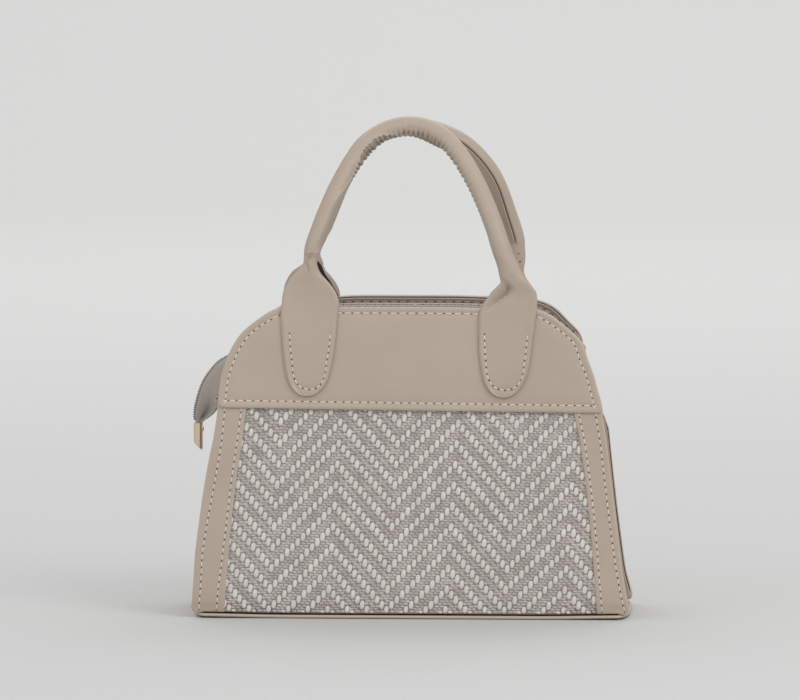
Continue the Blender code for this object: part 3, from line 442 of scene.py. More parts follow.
one = add_node(repeat_tree, "GeometryNodeSetMaterial",
               {"Geometry": rounded.outputs[0], "Material": given["First Material"]})
two = add_node(repeat_tree, "GeometryNodeSetMaterial",
               {"Geometry": one.outputs[0], "Selection": kind_of, "Material": given["Second Material"]})
add_node(repeat_tree, "NodeGroupOutput", {"Geometry": two.outputs[0]})


def repeated(name, places, first, second, segments=8, rings=6, unevenness=0.06, fullness=1.0):
    """One mesh of small rounded shapes on places of (point, axes, half sizes, second material or not)."""
    points, axes, halves, seconds = zip(*places)
    mesh = bpy.data.meshes.new(name + "_places")
    mesh.from_pydata(points, [], [])
    for label, kind, key, values in (
            ("turn", "FLOAT_VECTOR", "vector", [a for turn in axes for a in Matrix(turn).transposed().to_euler()]),
            ("size", "FLOAT_VECTOR", "vector", [s for half in halves for s in half]),
            ("kind", "BOOLEAN", "value", seconds)):
        mesh.attributes.new(label, kind, "POINT").data.foreach_set(key, values)
    holder = new_object(name + "_places", mesh)
    nodes = holder.modifiers.new("repeat", "NODES")
    nodes.node_group = repeat_tree
    wanted = {"Segments": segments, "Rings": rings, "Unevenness": unevenness, "Seed": 7, "Fullness": fullness,
              "First Material": first, "Second Material": second}
    for item in repeat_tree.interface.items_tree:
        if item.in_out == "INPUT" and item.name in wanted:
            nodes[item.identifier] = wanted[item.name]
    bpy.context.view_layer.update()
    made = bpy.data.meshes.new_from_object(holder.evaluated_get(bpy.context.evaluated_depsgraph_get()))
    made.name = name
    bpy.data.objects.remove(holder)
    bpy.data.meshes.remove(mesh)
    return made


def sewn(path, pitch):
    """Lockstitches along a path of (point, outward): a thread and a needle hole for each."""
    thread, hole = 0.00036, (0.00052, 0.00042, 0.0003)
    reach = [0.0]
    for (a, _), (b, _) in zip(path, path[1:]):
        reach.append(reach[-1] + (b - a).length)
    count = max(1, round(reach[-1] / pitch))
    step = reach[-1] / count

    def at(distance):
        i = min(bisect.bisect_right(reach, distance), len(path) - 1)
        share = (distance - reach[i - 1]) / max(reach[i] - reach[i - 1], 1e-9)
        return [path[i - 1][k].lerp(path[i][k], share) for k in (0, 1)]

    places = []
    for i in range(count):
        begin, middle, finish = at(i * step), at((i + 0.5) * step), at((i + 1) * step)
        along = (finish[0] - begin[0]).normalized()
        outward = (middle[1] - along * middle[1].dot(along)).normalized()
        axes = (along, outward.cross(along), outward)
        places.append((middle[0], axes, (step * 0.39, thread, thread * 0.85), False))
        places.append((begin[0], axes, hole, True))
    return places


def on_face(line, lift, side, move=settled):
    """A line of (x, z) on a face, in short steps, as points with their outward directions."""
    fine = [line[0]]
    for (x0, z0), (x1, z1) in zip(line, line[1:]):
        count = max(1, ceil(hypot(x1 - x0, z1 - z0) / 0.003))
        fine += [(x0 + (x1 - x0) * k / count, z0 + (z1 - z0) * k / count) for k in range(1, count + 1)]
    outward = Vector((0.0, side * cos(lean), sin(lean)))
    return [(face_point(x, z, lift, side, move), outward) for x, z in fine]


# Thread: spun polyester with a soft sheen; marks 0.3 mm across stand for its twist. On the lips and the
# zip's facings it is darkened to taupe as painted shade for the recess. A needle hole is a dark pit of painted
# shade.
thread_finish = rough_finish("polyester_thread_off_white", "#d8d1c6", 0.6, "ShaderNodeTexNoise",
                             {"Scale": 3500.0, "Detail": 1.0}, 0.4, 0.0001, Sheen_Weight=0.2)
# Painted shade: the needle hole's dark colour, and the thread in the recess darkened to taupe.
needle_hole = new_finish("needle_hole_in_shade", "#54453a", 0.9)[0]
painted_shade_thread = new_finish("polyester_thread_painted_shade", "#a2988b", 0.7)[0]


def stitch(name, places, nodes, body="bag", ends=None, thread=thread_finish):
    dress(name, repeated(name, places, thread, needle_hole), None, nodes, body, ends)


# Woven panels: a 2/2 herringbone twill of thick off-white warp and grey-taupe weft, cut with the grain
# slightly off upright. Each yarn shows as an oval float over two others on a dark ground.
def band_inner(z):
    """Half the width of the cloth that shows between the side bands."""
    return 0.1020 - 0.0628 * (z - 0.003) - 0.626 * (z - 0.003) * (z - 0.042)


warp_pitch, weft_pitch, grain_lean, chevron, cloth_top = 0.0027, 0.00285, 0.065, 12, 0.1165
columns, weft_rows = range(-44, 42), range(0, 41)
# Ground: the yarns below the floats, dull and in shade, with rough marks 0.8 mm across for their fibres.
ground_cloth = rough_finish("woven_ground_in_shade", "#948a86", 0.95, "ShaderNodeTexNoise",
                            {"Scale": 1200.0, "Detail": 3.0}, 0.5, 0.0004)


def yarn_finish(name, dark, light):
    """Soft spun yarn: dull, with rough marks 0.6 mm across for its fibres and a tone that drifts over 6 mm."""
    finish, tree, shader, space = new_finish(name, light, 0.85, Sheen_Weight=0.35, Sheen_Roughness=0.5)
    fibre = add_node(tree, "ShaderNodeTexNoise", {"Vector": space, "Scale": 1700.0, "Detail": 3.0, "Roughness": 0.7})
    blotch = add_node(tree, "ShaderNodeTexNoise", {"Vector": space, "Scale": 160.0, "Detail": 2.0})
    mixed = add_node(tree, "ShaderNodeMath", {0: fibre.outputs["Fac"], 1: blotch.outputs["Fac"]}, operation="ADD")
    share = add_node(tree, "ShaderNodeMapRange", {"Value": mixed.outputs[0], "From Min": 0.75, "From Max": 1.25})
    tone = add_node(tree, "ShaderNodeMix", {"Factor": share.outputs[0], "A": linear(dark), "B": linear(light)},
                    data_type="RGBA")
    bump = add_node(tree, "ShaderNodeBump", {"Height": fibre.outputs["Fac"], "Strength": 0.6, "Distance": 0.00025})
    tree.links.new(tone.outputs[2], shader.inputs["Base Color"])
    tree.links.new(bump.outputs["Normal"], shader.inputs["Normal"])
    return finish


warp_yarn = yarn_finish("warp_yarn_off_white", "#c6c2b9", "#dad6ce")
weft_yarn = yarn_finish("weft_yarn_grey_taupe", "#a29894", "#c5bdb8")


def warp_up(column, row):
    """Whether the warp lies on top: the twill climbs and falls by one weft a column."""
    place = (column + 5) % (2 * chevron)
    return (row - (place if place <= chevron else 2 * chevron - place)) % 4 < 2


def runs(cells):
    """The last place and the length of each unbroken run."""
    found, run = [], 0
    for i, on_top in enumerate(cells + [False]):
        if run and not on_top:
            found.append((i - 1, run))
        run = run + 1 if on_top else 0
    return found


def floats(side):
    """The warp's and the weft's runs on top of the cloth, as places for their oval floats."""
    outward = Vector((0.0, side * cos(lean), sin(lean)))
    places = {"warp": [], "weft": []}

    def add(yarn, column, row, half, half_wide, rise, lift):
        z = panel_foot + 0.0006 + row * weft_pitch
        x = column * warp_pitch + grain_lean * z
        tall = half_wide if yarn == "weft" else half
        low, high = max(z - tall, panel_foot + 0.0003), z + tall
        if abs(x) > band_inner(z) + 0.0012 or z > cloth_top or high - low < 0.0009:
            return
        slant = grain_lean + (0.0 if yarn == "weft" else 0.07) + 0.05 * waver(column * 1.7, row * 1.3, side)
        up = Vector((slant, 0.0, 1.0))
        up = (up - outward * up.dot(outward)).normalized()
        z, tall = (low + high) / 2, (high - low) / 2
        along = up.cross(outward) if yarn == "weft" else up
        size = (half, tall, rise) if yarn == "weft" else (tall, half_wide, rise)
        axes = (along, outward.cross(along), outward)
        places[yarn].append((face_point(x, z, lift, side), axes, size, yarn == "weft"))

    for c in columns:
        for end, run in runs([warp_up(c, r) for r in weft_rows]):
            add("warp", c, end - (run - 1) / 2, run * weft_pitch * 0.445, 0.00136, 0.00062, 0.0011)
    for r in weft_rows:
        for end, run in runs([not warp_up(c, r) for c in columns]):
            for ply in (-0.25, 0.25):
                for k in range(run):
                    column = columns[0] + end - k + 0.8 * ply
                    add("weft", column, r + ply, warp_pitch * 0.55, 0.00082, 0.00050, 0.0009)
    return places


panel_outline = mirrored([(band_inner(z) + 0.0018, z, 0.0, 1.0)
                          for z in (panel_foot, 0.022, 0.042, 0.060, 0.080, 0.100, 0.117)])
for face, side in sides.items():
    ground_mesh = plate(face + "_woven_ground", panel_outline, [(0.2, 0.3), (0, 0.6), (0.2, 0.95)], side)
    dress(face + "_woven_ground", ground_mesh, ground_cloth, [face + "_woven_panel"])
    places = floats(side)
    for yarn, segments, rings in (("warp", 10, 6), ("weft", 8, 5)):
        name = f"{face}_woven_{yarn}_floats"
        float_mesh = repeated(name, places[yarn], warp_yarn, weft_yarn, segments, rings, 0.07, 0.84)
        dress(name, float_mesh, None, [face + "_woven_panel"])


# Side bands: leather strips over the cloth's sides, folded along their inner edge and sewn by two rows.
# Their outer edge is cut flush with the body's outline.
hands = {"left": -1, "right": 1}
quarters = [(face, side, hand, flip) for face, side in sides.items() for hand, flip in hands.items()]
band_profile = [(4, 0.4), (0.3, 0.4), (0, 0.7), (0, 1.2), (0.35, 1.4), (0, 1.6), (0, 2.1), (0.3, 2.5),
                (0.9, 2.7), (1.8, 2.6), (3, 2.45), (5, 2.5)]
band_pitch, outer_lift, inner_lift = 0.0039, 0.00255, 0.0025
for face, side, hand, flip in quarters:
    band = [(band_inner(panel_foot), panel_foot, 0.0, 1.0), (0.1130, panel_foot, 0.0, 1.0),
            (half_width(0.0010), 0.0010, 0.0030, 1.0)]
    band += [(*shoulder(radians(3.2 * i)), 0.0, 1.0 if i < 4 else 0.0) for i in range(5)]
    band += [(band_inner(z), z, 0.0, 1.0) for z in (0.122, 0.100, 0.080, 0.060, 0.042, 0.022)]
    if flip < 0:
        band = [(-x, z, radius, band[i - 1][3]) for i, (x, z, radius, _) in enumerate(band)][::-1]
    name, nodes = f"{face}_side_band_{hand}", [f"{face}_side_band_{hand}"]
    dress(name + "_leather", plate(name + "_leather", band, band_profile, side), taupe_leather, nodes)
    outer_row, inner_row = [], []
    for z in [0.0035 + 0.112 * i / 30 for i in range(31)]:
        near_foot = 1.0 - min(1.0, z / 0.05)
        outer_row.append((flip * (half_width(z) - 0.0040 + (0.0012 if flip > 0 else -0.0003) * near_foot), z))
        inner_row.append((flip * (band_inner(z) + 0.0026 + (0.0002 if flip > 0 else 0.0018) * near_foot), z))
    stitch(name + "_stitches", sewn(on_face(outer_row, outer_lift, side), band_pitch)
           + sewn(on_face(inner_row, inner_lift, side), band_pitch), nodes)


# Yoke: one leather piece over the top of each face, turned and topstitched 4 mm inside its edge.
# It laps over the cloth and the bands, and the handle tabs are sewn to it.
yoke_edge, seam_inset, seam_lift = 0.114, 0.0041, 0.0037
yoke_outline = mirrored([(half_width(yoke_edge), yoke_edge, 0.003, 1.0)]
                        + [(*shoulder(turn), 0.0, 1.0) for turn in quarter_turn(36, 6)])
yoke_profile = [(4, 2.8), (0.3, 2.8), (0, 3), (0, 3.4), (0.3, 3.9), (0.9, 4.2), (1.8, 4.2), (3.2, 3.85),
                (4.1, 3.7), (5, 3.85), (6.5, 4), (8.5, 4.1)]
filler_outline = mirrored([(half_width(0.117), 0.117, 0.0, 1.0)]
                          + [p for p in yoke_outline if p[1] > 0.118 and p[0] > 0])
filler_profile = [(2, 0.4), (0.2, 0.4), (0, 0.7), (0, 2.2), (0.3, 2.5), (3, 2.6)]
row = ring_at(yoke_outline, seam_inset, 6)
top_row = [Vector((p.x, p.y + 0.0007 * ease(p.y, 0.162, 0.1655))) for p in row if p.y > 0.1622]
right_row = [Vector((half_width(yoke_edge) - seam_inset, yoke_edge + 0.001))]
right_row += [p for p in row if 0.1185 <= p.y <= 0.1630 and p.x > 0]
left_row = [Vector((-p.x, p.y)) for p in reversed(right_row)]
low_edge = half_width(yoke_edge) - 0.0016
low_row = [(-low_edge, yoke_edge + seam_inset), (low_edge, yoke_edge + seam_inset)]
for face, side in sides.items():
    nodes = [face + "_yoke"]
    for layer, outline, profile in (("_leather", yoke_outline, yoke_profile),
                                    ("_filler", filler_outline, filler_profile)):
        name = face + "_yoke" + layer
        dress(name, plate(name, outline, profile, side), taupe_leather, nodes)
    yoke_places = []
    for line, pitch in ((top_row, 0.0050), (right_row, 0.0038), (left_row, 0.0038), (low_row, 0.0045)):
        yoke_places += sewn(on_face(line, seam_lift, side), pitch)
    stitch(face + "_yoke_stitches", yoke_places, nodes)


# Gussets: a leather strip on each side, its edges turned out as lips behind the faces and sewn 3.4 mm
# in from the rim. The lips lie a little back from the faces' edges; the strip itself sags inwards.
def rim_place(spot, flip):
    """A station on the rim: x, z and the outward direction, from an angle on the shoulder or a height."""
    kind, value = spot
    if kind == "height":
        return flip * half_width(value), value, flip * 1.0, 0.0
    turn = radians(value)
    nx, nz = cos(turn) / shoulder_reach, sin(turn) / shoulder_rise
    size = hypot(nx, nz)
    x, z = shoulder(turn)
    return flip * x, z, flip * nx / size, nz / size


def rim_point(station, out, side, depth):
    """A point at a station: out from the rim, and depth in from the face on that side, or y itself."""
    x, z, nx, nz = station
    x, z = x + out * nx, z + out * nz
    return settled((x, side * (plane_y(z) + swell(x, z, side) - depth) if side else depth, z))


lip_back, lip_face, lip_inner = 0.0011, 0.0007, 0.0018
# Painted shade: lip_shade darkens each lip's inner face towards its root, in the recess behind the faces.
lip_shade, strip_steps = [0.0, 0.0, 0.0, 0.05, 0.45, 0.5, 0.35], 12
lip_seam, lip_pitch, lip_thread = 0.0034, 0.0046, lip_inner + 0.0001
spots = [("height", panel_foot + base_corner * (1 - cos(radians(15 * i)))) for i in range(7)]
spots += [("height", 0.0075 + 0.105 * i / 22) for i in range(1, 22)]
spots += [("turn", 46.0 * i / 16) for i in range(17)]
for hand, flip in hands.items():
    rings, gusset_shades = [], []
    for spot in spots:
        station = rim_place(spot, flip)
        z = station[1]
        below = max(0.0, panel_foot + base_corner - z)
        tip = -max(lip_back, base_corner - sqrt(max(0.0, base_corner ** 2 - below ** 2)) + 0.0004)
        sag = 0.0030 * ease(z, 0.004, 0.05) * ease(0.155 - z, 0.0, 0.035)
        sag += 0.0006 * waver(flip * 3, z * 45, 1.0)
        lip = [(tip - 0.0003, lip_face), (tip, lip_face + 0.0003), (tip, lip_inner - 0.0004),
               (tip - 0.0003, lip_inner), (-flange + 0.0008, lip_inner),
               (-flange + 0.0002, lip_inner + 0.0003), (-flange, lip_inner + 0.0010)]
        front, rear = [[rim_point(station, out, side, depth) for out, depth in lip] for side in (-1, 1)]
        y0 = front[-1].y
        strip, shade = [], []
        for share in [k / strip_steps for k in range(1, strip_steps)]:
            # Painted shade: the strip darkens along both its edges, in the corners where it meets the lips.
            shade.append(0.30 * max(0.0, 1.0 - 4.0 * min(share, 1.0 - share)))
            out = -flange - sag * sin(pi * share) - 0.0004 * sin(2 * pi * share)
            strip.append(rim_point(station, out, 0, y0 * (1 - 2 * share)))
        low = [rim_point(station, -flange - gusset_leather - sag * sin(pi * k / 6), 0, -y0 + 2 * y0 * k / 6)
               for k in range(7)]
        inner_edges = [rim_point(station, -flange - gusset_leather, side, lip_face) for side in (1, -1)]
        rings.append(front + strip + rear[::-1] + inner_edges[:1] + low + inner_edges[1:])
        gusset_shades.append(lip_shade + shade + lip_shade[::-1] + [0.0] * (len(low) + 2))
    name, nodes = "side_gusset_" + hand, ["side_gusset_" + hand]
    dress(name + "_leather", skin(name + "_leather", rings, shades=gusset_shades), taupe_leather, nodes)
    lip_places = []
    for side in (-1, 1):
        lip_places += sewn([(rim_point(rim_place(spot, flip), -lip_seam, side, lip_thread),
                             Vector((0.0, -side, 0.0))) for spot in spots[6:]], lip_pitch)
    stitch(name + "_stitches", lip_places, nodes, thread=painted_shade_thread)


# Zip facings: a leather strip on each side of the domed top. Its lip is sewn behind the face and its leg
# runs in to the zip, with its edge turned under and topstitched. The mouth's middle can spread open.
crest_rise, slot_half = -0.0027, 0.0028
mouth_ends = {hand: ((flip * 0.075, 0.0, 0.165), (flip * 0.045, 0.0, 0.165)) for hand, flip in hands.items()}


def crest_out(degrees):
    """How far out from the rim the zip's edge lies, by the angle on the shoulder."""
    return -flange + (crest_rise + flange) * ease(degrees, 46.0, 64.0)


def top_stations(flip, low=46.4):
    """Stations from one end of the zip up over a shoulder to the middle of the top."""
    found = [(rim_place(("turn", degrees), flip), degrees)
             for degrees in [low + (90.0 - low) * i / 26 for i in range(27)]]
    return found + [((flip * top_half_length * (1 - i / 12), body_height, 0.0, 1.0), 90.0)
                    for i in range(1, 13)]


def leg_point(station, degrees, side, share, drop=0.0):
    """A point on the facing: share 0 at its lip and 1 at the zip's slot, drop below its face."""
    foot = plane_y(station[1] - flange) - lip_inner
    out = -flange + (crest_out(degrees) + flange) * share + 0.0009 * sin(pi * share) * ease(degrees, 50, 70)
    return rim_point(station, out - drop, 0, side * (foot + (slot_half - foot) * share))


facing_lip = [(-flange - 0.001, lip_face), (-lip_back - 0.0003, lip_face), (-lip_back, lip_face + 0.0003),
              (-lip_back, lip_inner - 0.0004), (-lip_back - 0.0003, lip_inner), (-lip_back - 0.0009, lip_inner),
              (-flange - 0.001, lip_inner)]
for face, side, hand, flip in quarters:
    stations, ends = top_stations(flip), mouth_ends[hand]
    lip_name, leg_name = f"{face}_zip_lip_{hand}", f"{face}_zip_facing_{hand}"
    lip_nodes, leg_nodes, body = [face + "_zip_facing"], [face + "_mouth_flap"], face + "_flap"
    lip_rings = [[rim_point(station, out, side, depth) for out, depth in facing_lip] for station, _ in stations]
    # Painted shade: the lip's inner face darkens towards its root, in the recess.
    lip_mesh = skin(lip_name, lip_rings, shades=[[0.0, 0.0, 0.0, 0.0, 0.25, 0.58, 0.66]] * len(stations))
    dress(lip_name, lip_mesh, taupe_leather, lip_nodes)
    leg_rings = []
    for spot in stations:
        top = [leg_point(*spot, side, share)
               for share in (0.0, 0.06, 0.2, 0.35, 0.5, 0.65, 0.8, 0.86, 0.92, 0.97)]
        top[7].z -= 0.0002
        under = [leg_point(*spot, side, share, 0.0012) for share in (1.0, 0.8, 0.5, 0.2, 0.0)]
        leg_rings.append(top + [leg_point(*spot, side, 1.0, 0.0005)] + under)
    # Painted shade: the leg lies in the recess's shade, darkest at its lip; its underside gets none.
    leg_shades = [[0.6, 0.52, 0.45, 0.40] + [0.36] * 7 + [0.0] * 5] * len(stations)
    leg_mesh = skin(leg_name + "_leather", leg_rings, shades=leg_shades)
    dress(leg_name + "_leather", leg_mesh, taupe_leather, lip_nodes + leg_nodes, body=body, ends=ends)
    row = [(leg_point(*spot, side, 0.86) + Vector((0, 0, 0.0001)), Vector((spot[0][2], 0.0, spot[0][3])))
           for spot in stations]
    stitch(leg_name + "_stitches", sewn(row, 0.0045), leg_nodes, body=body, ends=ends, thread=painted_shade_thread)
    seam_row = [(rim_point(station, -0.0032, side, lip_thread), Vector((0.0, -side, 0.0)))
                for station, _ in stations]
    stitch(lip_name + "_stitches", sewn(seam_row, 0.0051), lip_nodes, thread=painted_shade_thread)


# Zip: a woven tape under each facing with a nylon coil along its edge. The two coils mesh in the middle;
# the slider and its pull run along them.
# Zip tape: woven polyester, matt and a little fuzzy, with fine slanted ribs, and painted shade in its folds.
zip_cloth, tree, shader, space = new_finish("zip_tape_polyester", "#bcb1aa", 0.9, Sheen_Weight=0.3)
ribs = add_node(tree, "ShaderNodeTexWave", {"Vector": space, "Scale": 1 / 0.0006 / 3.5, "Distortion": 0.9,
                                            "Detail": 2.0, "Detail Scale": 3.0}, bands_direction="DIAGONAL")
tone = add_node(tree, "ShaderNodeMix", {"Factor": ribs.outputs["Fac"], "A": linear("#9a8f89"),
                                        "B": linear("#bcb1aa")}, data_type="RGBA")
# Painted shade: the mesh's shade attribute darkens the tape towards #3f3937 in the tail's fold.
hollow = add_node(tree, "ShaderNodeAttribute", attribute_name="shade")
deep = add_node(tree, "ShaderNodeMix", {"Factor": hollow.outputs["Fac"], "A": tone.outputs[2],
                                        "B": linear("#3f3937")}, data_type="RGBA")
bump = add_node(tree, "ShaderNodeBump",
                {"Height": ribs.outputs["Fac"], "Strength": 0.5, "Distance": 0.00015})
tree.links.new(deep.outputs[2], shader.inputs["Base Color"])
tree.links.new(bump.outputs["Normal"], shader.inputs["Normal"])
# Coil: a smooth grey nylon filament with small highlights, its tone changing every 1.4 mm.
zip_nylon, tree, shader, space = new_finish("zip_coil_nylon", "#777a78", 0.35)
tone = add_node(tree, "ShaderNodeTexNoise", {"Vector": space, "Scale": 700.0, "Detail": 2.0})
mix = add_node(tree, "ShaderNodeMix", {"Factor": tone.outputs["Fac"], "A": linear("#5f6361"),
                                       "B": linear("#8c8d89")}, data_type="RGBA")
tree.links.new(mix.outputs[2], shader.inputs["Base Color"])
coil_pitch, tape_drop = 0.0013, 0.0016


def coil(name, line, on_holes, tilt, shift, half, nodes, body, ends):
    """A nylon coil along a line of (point, outward), one slanted turn to each pitch."""
    turns = []
    for middle, (along, across, outward), _, hole in sewn(line, coil_pitch):
        if hole == on_holes:
            tilted = (across + along * tilt).normalized()
            axes = (tilted, outward.cross(tilted), outward)
            turns.append((middle + along * shift, axes, (half, 0.0005, 0.0008), False))
    dress(name, repeated(name, turns, zip_nylon, zip_nylon, 8, 5, 0.0), None, nodes, body, ends)


for face, side, hand, flip in quarters:
    rings, coil_line = [], []
    for station, degrees in top_stations(flip, 48.0):
        edge, outward = crest_out(degrees) - tape_drop, Vector((station[2], 0.0, station[3]))
        line = [leg_point(station, degrees, side, share, tape_drop) for share in (0.62, 1.0)]
        line.append(rim_point(station, edge, 0, side * 0.0006))
        rings.append(line + [point - outward * 0.0006 for point in reversed(line)])
        coil_line.append((rim_point(station, edge + 0.0009, 0, side * 0.0012), outward))
    name, nodes = f"{face}_zip_tape_{hand}_cloth", [face + "_flap_tape", "zip_tape_" + hand]
    dress(name, skin(name, rings), zip_cloth, nodes, face + "_flap", mouth_ends[hand])
    coil(f"{face}_zip_coil_{hand}", coil_line, True, 0.25 * side, coil_pitch / 2 if side > 0 else 0.0, 0.0016,
         [face + "_flap_teeth", "zip_teeth_" + hand], face + "_flap", mouth_ends[hand])

# Pale gold plate: a bright polished metal, its gloss a little uneven in marks 1.1 mm across.
pale_gold, tree, shader, space = new_finish("pale_gold_plate", "#e6d2b6", 0.2, Metallic=1.0)
marks = add_node(tree, "ShaderNodeTexNoise", {"Vector": space, "Scale": 900.0, "Detail": 3.0})
rough = add_node(tree, "ShaderNodeMapRange", {"Value": marks.outputs["Fac"], "To Min": 0.13, "To Max": 0.3})
tree.links.new(rough.outputs[0], shader.inputs["Roughness"])
x_way, y_way, z_way = Vector((1, 0, 0)), Vector((0, 1, 0)), Vector((0, 0, 1))


def boxed(value, power):
    """A sine or cosine made boxier by a power under 1, with its sign kept."""
    return copysign(abs(value) ** power, value)


def oval_ring(centre, half, half_up, count=16, square=1.0, across=x_way, up=y_way):
    """A closed ring about a point; square under 1 makes it boxier."""
    return [centre + across * half * boxed(cos(turn), square) + up * half_up * boxed(sin(turn), square)
            for turn in [2 * pi * i / count for i in range(count)]]


def wire(name, line, radius, closed=False):
    """A round bar bent along a line of points."""
    rings = []
    for i, point in enumerate(line):
        before = line[i - 1] if i or closed else line[0]
        after = line[(i + 1) % len(line)] if i + 1 < len(line) or closed else line[-1]
        run = (after - before).normalized()
        across = run.orthogonal().normalized() if not rings else (across - run * across.dot(run)).normalized()
        rings.append(oval_ring(point, radius, radius, 10, across=across, up=run.cross(across)))
    if closed:
        rings.append([point.copy() for point in rings[0]])
    mesh = skin(name, rings, caps=not closed)
    if closed:
        weld = bmesh.new()
        weld.from_mesh(mesh)
        bmesh.ops.remove_doubles(weld, verts=weld.verts, dist=0.00001)
        weld.to_mesh(mesh)
        weld.free()
    return mesh


def joined(name, meshes):
    """Several meshes as one."""
    built = bmesh.new()
    for mesh in meshes:
        built.from_mesh(mesh)
    made = bpy.data.meshes.new(name)
    built.to_mesh(made)
    built.free()
    made.shade_smooth()
    made.set_sharp_from_angle(angle=radians(40.0))
    return made


slider_low, slider_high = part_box("zip_slider")
slider_middle = Vector(((slider_low[0] + slider_high[0]) / 2, 0.0, slider_low[2]))
slabs = []
for lift, thick in ((0.0, 0.0007), (0.0011, 0.0008)):
    slab_rings = []
    for z, grow in ((0.0, -0.0002), (0.0001, 0.0), (thick - 0.0002, 0.0), (thick, -0.0003)):
        middle = slider_middle + Vector((0, 0, lift + z))
        slab_rings.append(oval_ring(middle, 0.0041 + grow, 0.0031 + grow, 24, 0.6))
    slabs.append(skin("slab", slab_rings))
slabs.append(skin("post", [oval_ring(slider_middle + Vector((0.001, 0, z)), 0.0012, 0.0008)
                           for z in (0.0006, 0.0012)]))
slabs.append(wire("bail", [slider_middle + Vector((-0.0026 * cos(turn), 0.0, 0.0016 + 0.0020 * sin(turn) ** 0.45))
                           for turn in [pi * i / 12 for i in range(13)]], 0.0006))
dress("zip_slider_cast", joined("zip_slider_cast", slabs), pale_gold, ["zip_slider"], "slider")

pull_low, pull_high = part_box("zip_pull")
pull_x, pull_z = (pull_low[0] + pull_high[0]) / 2, (pull_low[2] + pull_high[2]) / 2
link_from, tag_from, link_straight, link_radius = pull_low[1] + 0.0021, pull_low[1] + 0.0083, 0.0055, 0.0015
link_line = []
for turn in [2 * pi * i / 24 for i in range(24)]:
    far = link_straight if sin(turn) > -1e-6 else 0.0
    link_line.append(Vector((pull_x, link_from + far + link_radius * sin(turn), pull_z + link_radius * cos(turn))))
tag_rings = []
for share in [i / 14 for i in range(15)]:
    y = tag_from + (pull_high[1] - tag_from) * (0.5 - 0.5 * cos(pi * share))
    width = 0.0025 * (0.55 + 0.45 * ease(share, 0.05, 0.7)) * min(1.0, 6 * (1 - share) + 0.5, 6 * share + 0.5)
    thick = 0.0006 * min(1.0, 8 * (1 - share) + 0.6)
    tag_rings.append(oval_ring(Vector((pull_x, y, pull_z)), width, thick, 16, 0.6, up=z_way))
dress("zip_pull_cast", joined("zip_pull_cast", [wire("link", link_line, 0.0006, True), skin("tag", tag_rings)]),
      pale_gold, ["zip_pull"], "pull")


# Lining: thin woven cloth inside, hung from the zip's seam and slack over the board. It has a slight
# sheen and a faint uneven rib.
lining_cloth = rough_finish("lining_cloth_polyester", "#a59c93", 0.75, "ShaderNodeTexWave",
                            {"Scale": 180.0, "Distortion": 2.0, "Detail": 3.0}, 0.25, 0.0002, Sheen_Weight=0.2)
wall_count, lining_foot, lining_top, lining_rings = 64, 0.0052, 0.1655, []
for z in [lining_foot + (lining_top - lining_foot) * i / 23 for i in range(24)]:
    ring = []
    for turn in [2 * pi * k / wall_count for k in range(wall_count)]:
        x = (half_width(min(z + 0.006, 0.1685)) - 0.0098) * boxed(cos(turn), 0.30)
        y = (plane_y(z) - 0.0029) * boxed(sin(turn), 0.30)
        slack = 0.0016 * waver(x * 40, y * 40, z * 30 + 9) - 0.0008
        away = Vector((x, y)).normalized() * slack
        ring.append(settled((x + away.x, y + away.y, z)))
    lining_rings.append(ring)
lining_mesh = skin("lining_cloth_bag", lining_rings, caps=False)
built = bmesh.new()
built.from_mesh(lining_mesh)
built.faces.new(built.verts[:wall_count])
bmesh.ops.solidify(built, geom=built.faces[:], thickness=-0.0004)
bmesh.ops.recalc_face_normals(built, faces=built.faces)
built.to_mesh(lining_mesh)
built.free()
dress("lining_cloth_bag", lining_mesh, lining_cloth, ["lining"])


# Strap loops: a short leather bridge on each gusset, sewn down at both feet. The left one lies flat
# under the zip's tail; the right one stands off the gusset.
for hand, low, high, stand in (("right", 29.0, 44.6, 0.0036), ("left", 6.0, 20.0, 0.0028)):
    rings = []
    for share in [i / 28 for i in range(29)]:
        station = rim_place(("turn", low + (high - low) * share), hands[hand])
        lift = -flange + 0.0002 + stand * sin(pi * ease(share, 0.1, 0.9)) ** 0.55
        half = 0.0050 - 0.0004 * sin(pi * share)
        section = ((-half, 0.0003), (-half + 0.0003, 0.0), (half - 0.0003, 0.0), (half, 0.0003), (half, 0.0009),
                   (half - 0.0004, 0.0013), (half - 0.0016, 0.0012), (0.0, 0.0013), (-half + 0.0016, 0.0012),
                   (-half + 0.0004, 0.0013), (-half, 0.0009))
        rings.append([rim_point(station, lift + out, 0, y) for y, out in section])
    name = "strap_loop_" + hand
    dress(name + "_leather", skin(name + "_leather", rings, sharp=70.0), taupe_leather, [name])


